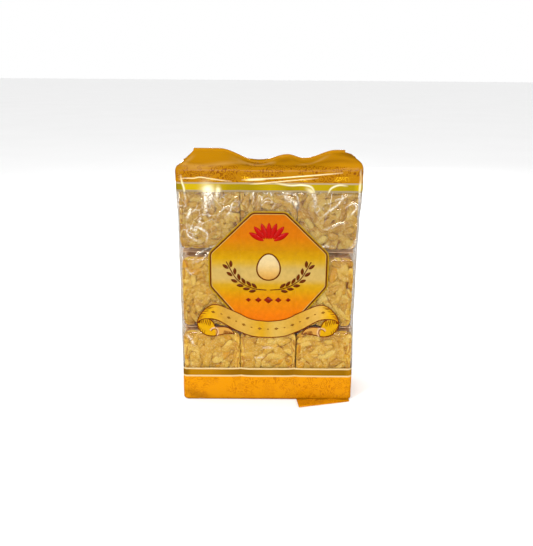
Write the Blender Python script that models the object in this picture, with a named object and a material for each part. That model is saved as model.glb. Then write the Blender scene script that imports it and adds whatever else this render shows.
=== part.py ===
"""A shut film pack of sachima, standing on its base.

One bag of clear printed film is drawn tight round three columns and three rows of sweet blocks, two layers deep.
Its top end folds in like a hipped roof to a wavy ridge, where the end seal bends over and lies down to the rear.
Its base is flat, with one corner of the folded film showing in front, and a long seam runs up its back.

Metres, +Z up. The origin is the middle of the base, the front faces -Y and +X is the viewer's right.
"""

import math

import bmesh
import bpy

# The bag round its blocks
BAG_WIDTH = 0.1775
BAG_DEPTH = 0.056
BAG_HEIGHT = 0.2455  # floor to the front's top edge
COLUMNS = 3
ROWS = 3
LAYERS = 2
UPRIGHT_RADIUS = 0.005  # the four upright edges, seen from above
BASE_RADIUS = 0.0025  # the edge round the base
SHOULDER_RADIUS = 0.0035  # the edge where the walls turn into the roof
GROOVE_DEPTH = 0.0014  # how far the film sinks between two blocks
HEAD_SWELL = 0.0010  # how far each side stands out round the bag's head
HEAD_FROM = 0.195  # height where that swell starts
HEAD_TO = 0.225  # height where it is full
WAIST_LEFT = 0.0004  # how far the film is drawn in at mid height, at each side
WAIST_RIGHT = 0.0016

# The roof and its ridge
RIDGE_INSET = 0.0155  # each end of the ridge, in from the bag's side
GUSSET_SINK = 0.006  # how far the side gussets are tucked in
ROOF_SAG = 1.25  # above 1, the roof sags between its edge and the ridge
RIGHT_SAG = 0.45  # below 1, the roof bulges, as its right end does
RIGHT_FROM = 0.040  # x where the roof starts to bulge
RIGHT_TO = 0.078
RIDGE_CRESTS = (  # x and height over the front's top edge, at each crest and dip of the ridge
    (-0.050, 0.0147),
    (-0.010, 0.0030),
    (0.018, 0.0093),
    (0.034, 0.0058),
    (0.066, 0.0138),
)

# The end seal, bent over to the rear from the ridge
SEAL_THICKNESS = 0.0012
SEAL_LENGTH = 0.011
SEAL_BEND = 0.0015  # radius of the bend, at the middle of the seal's thickness
SEAL_FOOT = SEAL_BEND + SEAL_THICKNESS / 2  # the ridge's top over the foot of the bend

# The long seam up the back
SEAM_WIDTH = 0.012
SEAM_PROUD = 0.0007
SEAM_BURIED = 0.0035
SEAM_END_GAP = 0.012  # from the floor, and from the front's top edge

# The corner of folded film that shows in front of the base
CORNER_LIFT = 0.0002  # its underside over the floor
CORNER_THICKNESS = 0.0012
CORNER_LEFT = 0.0300
CORNER_TIP = (0.0328, 0.0165)  # x, and how far forward of the bag's front
CORNER_END = (0.0865, 0.0035)
CORNER_BURIED = 0.009

# Where a cell of the film, over one block, gets its lines of points, as shares of the cell
CELL_LINES = (0.0, 0.06, 0.18, 0.34, 0.5, 0.66, 0.82, 0.94)
CELL_FLATNESS = 6  # a higher power keeps the film flatter over the block
EDGE_TIGHTNESS = 8  # a higher power keeps the grooves deep until nearer the bag's edges
SIDE_LINES = (0.0, 0.5, 1.0)
CORNER_STEPS = 3
BASE_STEPS = 3
ROOF_LINES = (0.018, 0.05, 0.10, 0.22, 0.4, 0.6, 0.8, 0.93, 1.0)
BEND_STEPS = 5
SEAL_STEPS = 3


def clear_scene():
    """Removes whatever the file holds."""
    for thing in list(bpy.data.objects):
        bpy.data.objects.remove(thing)


def make_material(name, colour, roughness):
    """A plain Principled material."""
    material = bpy.data.materials.new(name)
    material.use_nodes = True
    shader = material.node_tree.nodes["Principled BSDF"]
    shader.inputs["Base Color"].default_value = (*colour, 1.0)
    shader.inputs["Roughness"].default_value = roughness
    shader.inputs["Metallic"].default_value = 0.0
    return material


def cell_lines(cells):
    """Shares from 0 to 1 along a row of cells, close together at each gap between two cells."""
    lines = [(cell + line) / cells for cell in range(cells) for line in CELL_LINES]
    return lines + [1.0]


def fullness(share, cells):
    """0 on the gaps and edges of a row of cells, and 1 over the middle of each cell."""
    place = min(max(share, 0.0), 1.0) * cells
    within = place - min(math.floor(place), cells - 1)
    return 1.0 - abs(2.0 * within - 1.0) ** CELL_FLATNESS


def slack(share):
    """0 at both edges of a face of the bag, where the film is tight, and 1 over most of it."""
    return 1.0 - abs(2.0 * share - 1.0) ** EDGE_TIGHTNESS


def groove(along, across, cells):
    """How far the film sinks at a place on a face that is `cells` blocks wide and ROWS blocks high."""
    gap = 1.0 - fullness(along, cells) * fullness(across, ROWS)
    return GROOVE_DEPTH * gap * slack(along) * slack(across)


def ease(value, start, end):
    """A smooth step from 0 at start to 1 at end."""
    share = min(max((value - start) / (end - start), 0.0), 1.0)
    return share * share * (3.0 - 2.0 * share)


def side_shift(z, waist):
    """How far a side of the bag stands out at height z, under its swollen head and over its waist."""
    return HEAD_SWELL * ease(z, HEAD_FROM, HEAD_TO) - waist * math.sin(math.pi * z / BAG_HEIGHT) ** 2


def ridge_rise(x):
    """Height of the ridge over the front's top edge: half cosine waves from each crest or dip to the next."""
    if x <= RIDGE_CRESTS[0][0]:
        return RIDGE_CRESTS[0][1]
    for (x0, z0), (x1, z1) in zip(RIDGE_CRESTS, RIDGE_CRESTS[1:]):
        if x <= x1:
            return z0 + (z1 - z0) * (1.0 - math.cos(math.pi * (x - x0) / (x1 - x0))) / 2.0
    return RIDGE_CRESTS[-1][1]


def roof_climb(x, share):
    """How far the roof has climbed at a share of the way from the wall to the foot of the end seal."""
    sag = ROOF_SAG + (RIGHT_SAG - ROOF_SAG) * ease(x, RIGHT_FROM, RIGHT_TO)
    return (ridge_rise(x) - SEAL_FOOT) * share**sag


def half_ring(half_width, half_depth, radius):
    """The front half of a rounded rectangle, from the middle of its left side to the middle of its right side.

    Each entry is (x, y, outward x, outward y, share along the front or None)."""
    straight_x = half_width - radius
    straight_y = half_depth - radius
    left = [(-half_width, -straight_y * line, -1.0, 0.0, None) for line in SIDE_LINES]
    for step in range(1, CORNER_STEPS):
        turn = math.pi * (1.0 + step / CORNER_STEPS / 2.0)
        out_x, out_y = math.cos(turn), math.sin(turn)
        left.append((-straight_x + radius * out_x, -straight_y + radius * out_y, out_x, out_y, None))
    front = [
        (straight_x * (2.0 * share - 1.0), -half_depth, 0.0, -1.0, share) for share in cell_lines(COLUMNS)
    ]
    right = [(-x, y, -out_x, out_y, share) for x, y, out_x, out_y, share in reversed(left)]
    return left + front + right


def close_ring(half):
    """The whole ring from its front half, which is mirrored to the rear."""
    rear = [(x, -y, out_x, -out_y, share) for x, y, out_x, out_y, share in reversed(half[1:-1])]
    return half + rear


def wall_ring(z, inset):
    """Points round the bag's wall at height z, with the film sunk between the blocks."""
    half_width = BAG_WIDTH / 2.0 - inset
    half_depth = BAG_DEPTH / 2.0 - inset
    across = z / BAG_HEIGHT
    points = []
    for x, y, out_x, out_y, share in close_ring(half_ring(half_width, half_depth, UPRIGHT_RADIUS)):
        sink = 0.0
        if share is not None:
            sink = groove(share, across, COLUMNS)
        elif abs(out_x) == 1.0:
            sink = groove(0.5 + y / (2.0 * (half_depth - UPRIGHT_RADIUS)), across, LAYERS)
        shift = side_shift(z, WAIST_RIGHT if x > 0.0 else WAIST_LEFT) * x / half_width
        points.append((x + shift - sink * out_x, y - sink * out_y, z))
    return points


def roof_ring(share):
    """Points round the roof, where share runs from 0 at the wall's top to 1 at the slit under the ridge.

    The wall's edge turns in a quarter circle, and from there the film climbs to the foot of the end seal."""
    half_width = BAG_WIDTH / 2.0 + HEAD_SWELL - RIDGE_INSET * share
    half_depth = BAG_DEPTH / 2.0 * (1.0 - share) + SEAL_THICKNESS / 2.0 * share
    radius = min(UPRIGHT_RADIUS, half_depth / 2.0)
    turned = min(BAG_DEPTH / 2.0 * share, SHOULDER_RADIUS)
    edge = BAG_HEIGHT - SHOULDER_RADIUS + math.sqrt(SHOULDER_RADIUS**2 - (SHOULDER_RADIUS - turned) ** 2)
    points = []
    for x, y, out_x, _, _ in close_ring(half_ring(half_width, half_depth, radius)):
        tuck = 0.0
        if abs(out_x) == 1.0:
            tuck = GUSSET_SINK * math.sin(math.pi * share) * (1.0 - (y / half_depth) ** 2)
        points.append((x - tuck * out_x, y, edge + roof_climb(x, share)))
    return points


def seal_ring(turn_share, run):
    """Points round the end seal: the slit carried up, bent over to the rear and laid along the roof's rear slope.

    turn_share is how much of the bend is done, and run is the length past the bend."""
    reach = 1.0 - SEAL_LENGTH / (BAG_DEPTH / 2.0)
    points = []
    for x, y, z in roof_ring(1.0):
        slope = math.atan2(roof_climb(x, 1.0) - roof_climb(x, reach), SEAL_LENGTH)
        turn = (math.pi / 2.0 + slope) * turn_share
        middle_y = SEAL_BEND * (1.0 - math.cos(turn)) + run * math.sin(turn)
        middle_z = SEAL_BEND * math.sin(turn) + run * math.cos(turn)
        points.append((x, middle_y + y * math.cos(turn), z + middle_z - y * math.sin(turn)))
    return points


def bag_rings():
    """Every ring of the bag, from the base up the walls, over the roof and along the end seal."""
    rings = []
    for step in range(BASE_STEPS):
        turn = math.pi / 2.0 * step / BASE_STEPS
        rings.append(wall_ring(BASE_RADIUS * (1.0 - math.cos(turn)), BASE_RADIUS * (1.0 - math.sin(turn))))
    wall_height = BAG_HEIGHT - SHOULDER_RADIUS - BASE_RADIUS
    rings += [wall_ring(BASE_RADIUS + wall_height * line, 0.0) for line in cell_lines(ROWS)]
    rings += [roof_ring(line) for line in ROOF_LINES]
    rings += [seal_ring(step / BEND_STEPS, 0.0) for step in range(1, BEND_STEPS + 1)]
    rings += [seal_ring(1.0, SEAL_LENGTH * step / SEAL_STEPS) for step in range(1, SEAL_STEPS + 1)]
    return rings


def zip_ring(mesh, ring):
    """Closes a long thin ring: strips between its front half and its rear half, and one face at each end."""
    middle = len(ring) // 2
    end = len(SIDE_LINES)  # the first point that isn't on the straight end
    for i in range(end, middle - end):
        mesh.faces.new((ring[i], ring[i + 1], ring[-i - 1], ring[-i]))
    mesh.faces.new(ring[-end:] + ring[: end + 1])
    mesh.faces.new(ring[middle - end : middle + end + 1])


def build_bag():
    """The bag's closed skin: rings joined one to the next, on a flat base and zipped shut along the seal."""
    mesh = bmesh.new()
    rings = [[mesh.verts.new(point) for point in ring] for ring in bag_rings()]
    for lower, upper in zip(rings, rings[1:]):
        for i, corner in enumerate(lower):
            after = (i + 1) % len(lower)
            mesh.faces.new((corner, lower[after], upper[after], upper[i]))
    mesh.faces.new(rings[0])
    zip_ring(mesh, rings[-1])
    bmesh.ops.recalc_face_normals(mesh, faces=mesh.faces)
    return finish_mesh("film_pack", mesh)


def build_slab(name, outline, low, high):
    """A flat slab: an outline of (x, y) points raised from height low to height high."""
    mesh = bmesh.new()
    floor = mesh.faces.new([mesh.verts.new((x, y, low)) for x, y in outline])
    raised = bmesh.ops.extrude_face_region(mesh, geom=[floor])
    top = [part for part in raised["geom"] if isinstance(part, bmesh.types.BMVert)]
    bmesh.ops.translate(mesh, verts=top, vec=(0.0, 0.0, high - low))
    bmesh.ops.recalc_face_normals(mesh, faces=mesh.faces)
    return finish_mesh(name, mesh)


def finish_mesh(name, mesh):
    """Puts a bmesh into a named object of the scene."""
    data = bpy.data.meshes.new(name)
    mesh.to_mesh(data)
    mesh.free()
    thing = bpy.data.objects.new(name, data)
    bpy.context.collection.objects.link(thing)
    return thing


def build_seam():
    """The long seam, a flat strip of doubled film laid up the middle of the back."""
    rear = BAG_DEPTH / 2.0
    half = SEAM_WIDTH / 2.0
    outline = [
        (-half, rear - SEAM_BURIED),
        (half, rear - SEAM_BURIED),
        (half, rear + SEAM_PROUD),
        (-half, rear + SEAM_PROUD),
    ]
    return build_slab("long_seam", outline, SEAM_END_GAP, BAG_HEIGHT - SEAM_END_GAP)


def build_corner():
    """The corner of folded film, lying just over the floor in front of the base."""
    front = -BAG_DEPTH / 2.0
    outline = [
        (CORNER_LEFT, front + CORNER_BURIED),
        (CORNER_LEFT, front),
        (CORNER_TIP[0], front - CORNER_TIP[1]),
        (CORNER_END[0], front - CORNER_END[1]),
        (CORNER_END[0], front + CORNER_BURIED),
    ]
    return build_slab("base_corner", outline, CORNER_LIFT, CORNER_LIFT + CORNER_THICKNESS)


def join_to(body, pieces):
    """Joins the pieces to the body with one Boolean union, and removes them."""
    group = bpy.data.collections.new("joined_pieces")
    bpy.context.scene.collection.children.link(group)
    for piece in pieces:
        bpy.context.collection.objects.unlink(piece)
        group.objects.link(piece)
    union = body.modifiers.new("union", "BOOLEAN")
    union.operation = "UNION"
    union.operand_type = "COLLECTION"
    union.collection = group
    union.solver = "EXACT"
    bpy.context.view_layer.update()
    depsgraph = bpy.context.evaluated_depsgraph_get()
    joined = bpy.data.meshes.new_from_object(body.evaluated_get(depsgraph))
    body.modifiers.remove(union)
    body.data = joined
    for piece in pieces:
        bpy.data.objects.remove(piece)
    bpy.data.collections.remove(group)


def build_pack():
    """The whole pack as one solid."""
    bag = build_bag()
    join_to(bag, [build_seam(), build_corner()])
    bag.data.materials.clear()
    bag.data.materials.append(make_material("printed_film", (0.86, 0.60, 0.22), 0.25))
    bag.data.shade_smooth()
    bag.data.set_sharp_from_angle(angle=math.radians(35.0))
    return bag


clear_scene()
build_pack()
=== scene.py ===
import math

import bpy
import numpy as np
from mathutils import Matrix, Vector


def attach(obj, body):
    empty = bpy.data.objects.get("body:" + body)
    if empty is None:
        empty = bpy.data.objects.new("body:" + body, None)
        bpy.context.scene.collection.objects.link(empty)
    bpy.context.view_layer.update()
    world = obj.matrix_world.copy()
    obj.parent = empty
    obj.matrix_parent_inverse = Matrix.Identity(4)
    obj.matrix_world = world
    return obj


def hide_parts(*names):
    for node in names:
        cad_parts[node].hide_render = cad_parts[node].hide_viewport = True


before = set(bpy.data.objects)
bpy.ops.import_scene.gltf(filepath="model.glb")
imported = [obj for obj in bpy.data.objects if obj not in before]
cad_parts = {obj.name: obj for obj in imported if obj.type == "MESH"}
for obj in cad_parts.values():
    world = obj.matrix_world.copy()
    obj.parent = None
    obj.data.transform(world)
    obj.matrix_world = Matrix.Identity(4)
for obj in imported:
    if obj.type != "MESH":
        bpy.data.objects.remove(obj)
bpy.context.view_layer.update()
print("frame loaded")

millimetre = 0.001
perMetre = 1000.0
wholeTurn = 2.0 * math.pi
quarterTurn = math.pi / 2.0
waveCount = 14  # how many cosine waves make up soft waves
white = (1.0, 1.0, 1.0, 1.0)
mirror = (-1.0, 1.0)  # turns (x, z) into its mirror image across the middle of the bag
rootBody = "root"
bakeLayer = "OFBake"  # the layer of the pieces' own texture maps

# The camera stands in front of the pack, a little above it, as in the photograph
cameraView = {
    "frameWidth": 533,
    "frameHeight": 546,
    "focalPixels": 627.7,
    "distance": 0.62292,
    "yaw": -0.0042710,
    "pitch": 0.3141593,
    "roll": 0.0083892,
    "target": (-0.002015, -0.028, 0.141481),
    "sensor": 36.0,
}

# The bag's form, in metres: the same sizes and the same rules as the solid that it stands for
bag = {
    "width": 0.1775,
    "depth": 0.056,
    "height": 0.2455,
    "columns": 3,
    "rows": 3,
    "layers": 2,
    "uprightRadius": 0.005,
    "baseRadius": 0.0025,
    "shoulderRadius": 0.0035,
    "grooveDepth": 0.0014,
    "cellFlatness": 6,
    "edgeTightness": 8,
    "headSwell": 0.0010,
    "headFrom": 0.195,
    "headTo": 0.225,
    "waistLeft": 0.0004,
    "waistRight": 0.0016,
    "ridgeInset": 0.0155,
    "gussetSink": 0.006,
    "roofSag": 1.25,
    "rightSag": 0.45,
    "rightFrom": 0.040,
    "rightTo": 0.078,
    "ridgeCrests": ((-0.050, 0.0147), (-0.010, 0.0030), (0.018, 0.0093), (0.034, 0.0058), (0.066, 0.0138)),
    "sealThickness": 0.0012,
    "sealLength": 0.011,
    "sealBend": 0.0015,
}
bag["halfWidth"] = bag["width"] / 2.0
bag["halfDepth"] = bag["depth"] / 2.0
bag["sealFoot"] = bag["sealBend"] + bag["sealThickness"] / 2.0


# Linear colour from the 0 to 255 values of a swatch
def swatch(red, green, blue, strength=1.0):
    value = np.array((red, green, blue)) / 255.0
    linear = np.where(value <= 0.04045, value / 12.92, ((value + 0.055) / 1.055) ** 2.4) * strength
    return (*linear.tolist(), 1.0)


# A smooth step from 0 at start to 1 at end: 3 s squared less 2 s cubed
def ease(value, start, end):
    share = np.clip((value - start) / (end - start), 0.0, 1.0)
    return share * share * (3.0 - 2.0 * share)


# The sign of a value times a power of its size
def bowed(value, power):
    return np.sign(value) * np.abs(value) ** power


# Even angles round a whole turn
def wholeTurns(count):
    return np.linspace(0.0, wholeTurn, count, endpoint=False)


# Arrays or numbers side by side, as the last axis of one array
def asPoints(*parts):
    return np.stack(np.broadcast_arrays(*parts), axis=-1)


# Points of the circle of radius 1 at angles
def circlePoints(angle):
    return asPoints(np.cos(angle), np.sin(angle))


# Soft waves: a sum of cosine waves in random directions, all of about one wavelength, from about -1 to 1
def softWaves(points, wavelength, seed):
    random = np.random.default_rng(seed)
    heading = random.normal(size=(waveCount, points.shape[-1]))
    heading /= np.linalg.norm(heading, axis=1, keepdims=True)
    pitch = wholeTurn / (wavelength * random.uniform(0.7, 1.4, waveCount))
    phase = random.uniform(0.0, wholeTurn, waveCount)
    waves = np.cos((points @ heading.T) * pitch + phase)
    return waves.sum(axis=-1) / math.sqrt(waveCount)


# Creases: a ridge wherever soft waves pass through nought, one less their size, raised to a power
def creaseWaves(points, wavelength, seed, sharpness):
    waves = np.clip(np.abs(softWaves(points, wavelength, seed)), 0.0, 1.0)
    return (1.0 - waves) ** sharpness


# A smooth curve through a few points: on each span a cubic whose slopes come from the points on both sides
def smoothCurve(points, count):
    points = np.asarray(points, float)
    padded = np.vstack((2 * points[0] - points[1], points, 2 * points[-1] - points[-2]))
    place = np.linspace(0.0, len(points) - 1.0, count)
    span = np.minimum(place.astype(int), len(points) - 2)
    t = (place - span)[:, None]
    a, b, c, d = (padded[span + i] for i in range(4))
    return 0.5 * (2 * b + (c - a) * t + (2 * a - 5 * b + 4 * c - d) * t**2 + (3 * b - a - 3 * c + d) * t**3)


# Quads between the rows and columns of a grid of points, with each corner's place in a unit square
def gridFaces(rows, columns, wrapped=False):
    last = columns if wrapped else columns - 1
    row, column = np.meshgrid(np.arange(rows - 1), np.arange(last), indexing="ij")
    after = (column + 1) % columns
    low, high = row * columns, (row + 1) * columns
    quads = asPoints(low + column, low + after, high + after, high + column)
    across = asPoints(column, column + 1, column + 1, column) / last
    up = asPoints(row, row, row + 1, row + 1) / (rows - 1)
    return quads.reshape(-1, 4), asPoints(across, up).reshape(-1, 4, 2)


# A new object of the scene that holds the given mesh, lens or lamp
def addObject(name, data):
    holder = bpy.data.objects.new(name, data)
    bpy.context.scene.collection.objects.link(holder)
    return holder


# Writes points and arrays of faces into a named object; places are the faces' corners on its texture map.
# Faces from start to end of secondFaces wear the second of two materials.
def makePiece(name, points, faceSets, placeSets, material, attributes=None, second=None,
              secondFaces=(0, 0)):
    mesh = bpy.data.meshes.new(name)
    faces = [face for faceSet in faceSets for face in faceSet.tolist()]
    mesh.from_pydata(np.asarray(points).reshape(-1, 3).tolist(), [], faces)
    places = np.concatenate([places.reshape(-1, 2) for places in placeSets])
    mesh.uv_layers.new(name=bakeLayer).data.foreach_set("uv", places.astype(np.float32).ravel())
    for key, values in (attributes or {}).items():
        layer = mesh.attributes.new(key, "FLOAT", "POINT")
        layer.data.foreach_set("value", np.asarray(values, np.float32).ravel())
    mesh.materials.append(material)
    if second:
        mesh.materials.append(second)
        worn = np.zeros(len(faces), np.int32)
        worn[secondFaces[0]:secondFaces[1]] = 1
        mesh.polygons.foreach_set("material_index", worn)
    mesh.shade_smooth()
    piece = addObject(name, mesh)
    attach(piece, rootBody)
    return piece


# Side faces and two flat ends of a tube of rings, with their corners on a unit square: the sides lie from the
# margin on and over the span, and the ends are two circles above them
def tubeFaces(rows, columns, margin, span, radius, level):
    quads, places = gridFaces(rows, columns, wrapped=True)
    ends = np.stack((np.arange(columns)[::-1], (rows - 1) * columns + np.arange(columns)))
    circle = circlePoints(wholeTurns(columns)) * radius
    endPlaces = np.stack((circle[::-1] + (0.25, level), circle + (0.75, level)))
    return quads, ends, places * span + margin, endPlaces


# One form's faces repeated for so many forms of size points, each in its own cell of the texture map
def repeatFaces(faces, places, count, size, across):
    shifted = faces[None] + size * np.arange(count)[:, None, None]
    cell = asPoints(np.arange(count) % across, np.arange(count) // across)[:, None, None]
    return shifted.reshape(-1, faces.shape[-1]), (cell + places[None]) / across


# A short way to write node trees: a material's tree, new nodes, and sums whose inputs are sockets or numbers
class NodeDesk:
    def __init__(self, name, roughness):
        self.material = bpy.data.materials.new(name)
        self.material.use_nodes = True
        self.tree = self.material.node_tree
        self.shader = self.tree.nodes["Principled BSDF"]
        self.shader.inputs["Roughness"].default_value = roughness
        self.place = self.add("ShaderNodeTexCoord").outputs["Object"]
        self.x, self.y, self.z = self.add("ShaderNodeSeparateXYZ", Vector=self.place).outputs

    def add(self, kind, settings=None, **inputs):
        node = self.tree.nodes.new(kind)
        for key, value in (settings or {}).items():
            setattr(node, key, value)
        for key, value in inputs.items():
            self.feed(node.inputs[key.replace("_", " ")], value)
        return node

    def feed(self, socket, value):
        if isinstance(value, bpy.types.NodeSocket):
            self.tree.links.new(value, socket)
        else:
            socket.default_value = value

    def sum(self, operation, first, second=0.0, third=0.0):
        node = self.add("ShaderNodeMath", {"operation": operation})
        for socket, value in zip(node.inputs, (first, second, third)):
            self.feed(socket, value)
        return node.outputs[0]

    # All the values multiplied
    def times(self, first, *others):
        for value in others:
            first = self.sum("MULTIPLY", first, value)
        return first

    def plus(self, first, second):
        return self.sum("ADD", first, second)

    def attribute(self, name):
        return self.add("ShaderNodeAttribute", {"attribute_name": name}).outputs["Fac"]

    def mix(self, share, first, second, blend="MIX"):
        node = self.add("ShaderNodeMix", {"data_type": "RGBA", "blend_type": blend}, Factor=share)
        self.feed(node.inputs[6], first)
        self.feed(node.inputs[7], second)
        return node.outputs[2]

    # One colour multiplied by another
    def tinted(self, first, second):
        return self.mix(1.0, first, second, "MULTIPLY")

    # A ramp whose stops are (value, colour), over the range from the first stop to the last
    def ramp(self, value, stops, interpolation="LINEAR"):
        low, high = stops[0][0], stops[-1][0]
        share = self.sum("DIVIDE", self.sum("SUBTRACT", value, low), high - low)
        node = self.add("ShaderNodeValToRGB", Fac=share)
        node.color_ramp.interpolation = interpolation
        elements = node.color_ramp.elements
        while len(elements) < len(stops):
            elements.new(0.5)
        for element, (place, colour) in zip(elements, stops):
            element.position = (place - low) / (high - low)
            element.color = colour
        return node.outputs["Color"]

    # A ramp whose stops are (value, swatch), all of one strength
    def tints(self, value, stops, strength=1.0):
        return self.ramp(value, [(place, swatch(*tone, strength)) for place, tone in stops])

    # A ramp whose stops are (value, grey from 0 to 255)
    def greys(self, value, *stops):
        return self.tints(value, [(place, (grey, grey, grey)) for place, grey in stops])

    # From 0 at start to 1 at end, and the other way round
    def rise(self, value, start, end):
        return self.greys(value, (start, 0), (end, 255))

    def fall(self, value, start, end):
        return self.greys(value, (start, 255), (end, 0))

    # 1 where a value lies between two others, and 0 elsewhere
    def between(self, value, low, high):
        return self.times(self.sum("GREATER_THAN", value, low), self.sum("LESS_THAN", value, high))

    def noise(self, scale, detail=2.0, roughness=0.5, distortion=0.0, kind="FBM"):
        node = self.add("ShaderNodeTexNoise", {"noise_type": kind}, Vector=self.place, Scale=scale,
                        Detail=detail, Roughness=roughness, Distortion=distortion)
        return node.outputs["Fac"]

    # 0 on the label and 1 away from it: a soft step of the fourth-power distance from its middle
    def labelAway(self):
        gap = 0.0
        for value, half in ((self.x, calmPatch["halfWidth"]),
                            (self.sum("SUBTRACT", self.z, calmPatch["middle"]), calmPatch["halfHeight"])):
            share = self.sum("DIVIDE", self.sum("ABSOLUTE", value), half)
            gap = self.plus(gap, self.sum("POWER", share, 4.0))
        return self.ramp(gap, ((0.55, (0.05, 0.05, 0.05, 1)), (1.3, (1, 1, 1, 1))))

    # Share of light that clear film mirrors: from base, rising as a power of the slant to most
    def mirrorShare(self, base, most, power=4.0):
        slant = self.add("ShaderNodeLayerWeight", Blend=0.5).outputs["Facing"]
        return self.sum("MULTIPLY_ADD", self.sum("POWER", slant, power), most - base, base)

    # Alpha and Metallic of clear film that mirrors one share of the light and scatters another
    def clearFilm(self, mirrored, scattered):
        alpha = self.sum("MINIMUM", self.plus(mirrored, scattered), 1.0)
        return alpha, self.sum("DIVIDE", mirrored, self.plus(mirrored, scattered))

    def bump(self, height, distance, strength=1.0):
        node = self.add("ShaderNodeBump", Height=height, Distance=distance, Strength=strength)
        self.tree.links.new(node.outputs["Normal"], self.shader.inputs["Normal"])

    def set(self, **inputs):
        for key, value in inputs.items():
            self.feed(self.shader.inputs[key.replace("_", " ")], value)
        return self.material


# The camera's axes: away from the target by yaw and pitch, then rolled about the line of sight
def placeCamera(view):
    turn, climb, roll = view["yaw"], view["pitch"], view["roll"]
    back = Vector((math.sin(turn) * math.cos(climb), -math.cos(turn) * math.cos(climb), math.sin(climb)))
    right = (-back).cross(Vector((0, 0, 1))).normalized()
    up = right.cross(-back)
    tiltedRight = right * math.cos(roll) + up * math.sin(roll)
    tiltedUp = up * math.cos(roll) - right * math.sin(roll)
    stand = Vector(view["target"]) + back * view["distance"]
    lens = bpy.data.cameras.new("photoCamera")
    lens.sensor_width = view["sensor"]
    lens.lens = view["focalPixels"] * view["sensor"] / max(view["frameWidth"], view["frameHeight"])
    camera = addObject("photoCamera", lens)
    rows = zip(tiltedRight, tiltedUp, back, stand)
    camera.matrix_world = Matrix([*rows, (0, 0, 0, 1)])
    bpy.context.scene.camera = camera


# 0 on the gaps and edges of a row of cells and 1 over each cell: one less the sixth power of twice the
# distance from the cell's middle
def fullness(share, cells):
    place = np.clip(share, 0.0, 1.0) * cells
    within = place - np.minimum(np.floor(place), cells - 1)
    return 1.0 - np.abs(2.0 * within - 1.0) ** bag["cellFlatness"]


# 0 at both edges of a face, where the film is tight, and 1 over most of it
def slack(share):
    return 1.0 - np.abs(2.0 * share - 1.0) ** bag["edgeTightness"]


# How far the film sinks between the blocks, at shares along and across a face of so many cells
def grooveSink(along, across, cells):
    gap = 1.0 - fullness(along, cells) * fullness(across, bag["rows"])
    return bag["grooveDepth"] * gap * slack(along) * slack(across)


# How far each side stands out at height z: the swollen head less a sine-squared waist
def sideShift(x, z):
    waist = np.where(x > 0.0, bag["waistRight"], bag["waistLeft"])
    swell = bag["headSwell"] * ease(z, bag["headFrom"], bag["headTo"])
    return swell - waist * np.sin(math.pi * np.clip(z / bag["height"], 0, 1)) ** 2


# Height of the ridge over the front's top edge: half cosine waves from crest to dip
def ridgeRise(x):
    crests = np.array(bag["ridgeCrests"])
    x = np.clip(x, crests[0, 0], crests[-1, 0])
    span = np.clip(np.searchsorted(crests[:, 0], x, side="right") - 1, 0, len(crests) - 2)
    start, end = crests[span], crests[span + 1]
    share = (x - start[..., 0]) / (end[..., 0] - start[..., 0])
    return start[..., 1] + (end[..., 1] - start[..., 1]) * (1.0 - np.cos(math.pi * share)) / 2.0


# Climb of the roof: the ridge's rise times a power of the share of the way to it
def roofClimb(x, share):
    sag = bag["roofSag"] + (bag["rightSag"] - bag["roofSag"]) * ease(x, bag["rightFrom"], bag["rightTo"])
    return (ridgeRise(x) - bag["sealFoot"]) * share**sag


# One turn round a rounded rectangle, from the middle of its left side by the front and the rear, as shares of
# its straight half sides and of its corner radius
def ringShares(frontCount, sideCount, cornerCount, rearCount):
    quarter = np.linspace(0.0, quarterTurn, cornerCount + 1)[1:-1]
    straights = (
        ((-1, 0), (-1, -1), (-1, 0), sideCount),
        ((-1, -1), (1, -1), (0, -1), frontCount),
        ((1, -1), (1, 1), (1, 0), 2 * sideCount),
        ((1, 1), (-1, 1), (0, 1), rearCount),
        ((-1, 1), (-1, 0), (-1, 0), sideCount),
    )
    pieces = []
    for index, (start, end, out, count) in enumerate(straights):
        steps = np.linspace(0.0, 1.0, count + 1)[:, None]
        if index == len(straights) - 1:
            steps = steps[:-1]
        middle = np.array(start) + (np.array(end) - np.array(start)) * steps
        outward = np.broadcast_to(np.array(out, float), middle.shape)
        pieces.append(np.hstack((middle, outward, np.full((len(middle), 1), index))))
        if index < len(straights) - 1:
            angle = math.pi * (1.0 + index / 2.0) + quarter
            outward = circlePoints(angle)
            middle = np.broadcast_to(np.array(end, float), outward.shape)
            pieces.append(np.hstack((middle, outward, np.full((len(outward), 1), -1))))
    return np.vstack(pieces)


# Points of rounded rectangles: straight half sides times their shares, plus the radius along the outward way
def ringPoints(ring, halfWidth, halfDepth, radius):
    x = ring[:, 0] * (halfWidth - radius) + ring[:, 2] * radius
    y = ring[:, 1] * (halfDepth - radius) + ring[:, 3] * radius
    return x, y


# The walls' rows: a rounded rectangle at each height, sunk between the blocks and with its sides standing out
def wallRows(ring, heights, insets):
    z, inset = heights[:, None], insets[:, None]
    halfWidth, halfDepth = bag["halfWidth"] - inset, bag["halfDepth"] - inset
    x, y = ringPoints(ring, halfWidth, halfDepth, bag["uprightRadius"])
    across = z / bag["height"]
    onFace = (ring[:, 4] == 1) | (ring[:, 4] == 3)
    onSide = (ring[:, 4] >= 0) & ~onFace
    sink = np.where(onFace, grooveSink(0.5 + ring[:, 0] / 2.0, across, bag["columns"]), 0.0)
    sink = np.where(onSide, grooveSink(0.5 + ring[:, 1] / 2.0, across, bag["layers"]), sink)
    x = x + sideShift(x, z) * x / halfWidth
    return asPoints(x - sink * ring[:, 2], y - sink * ring[:, 3], z)


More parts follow.
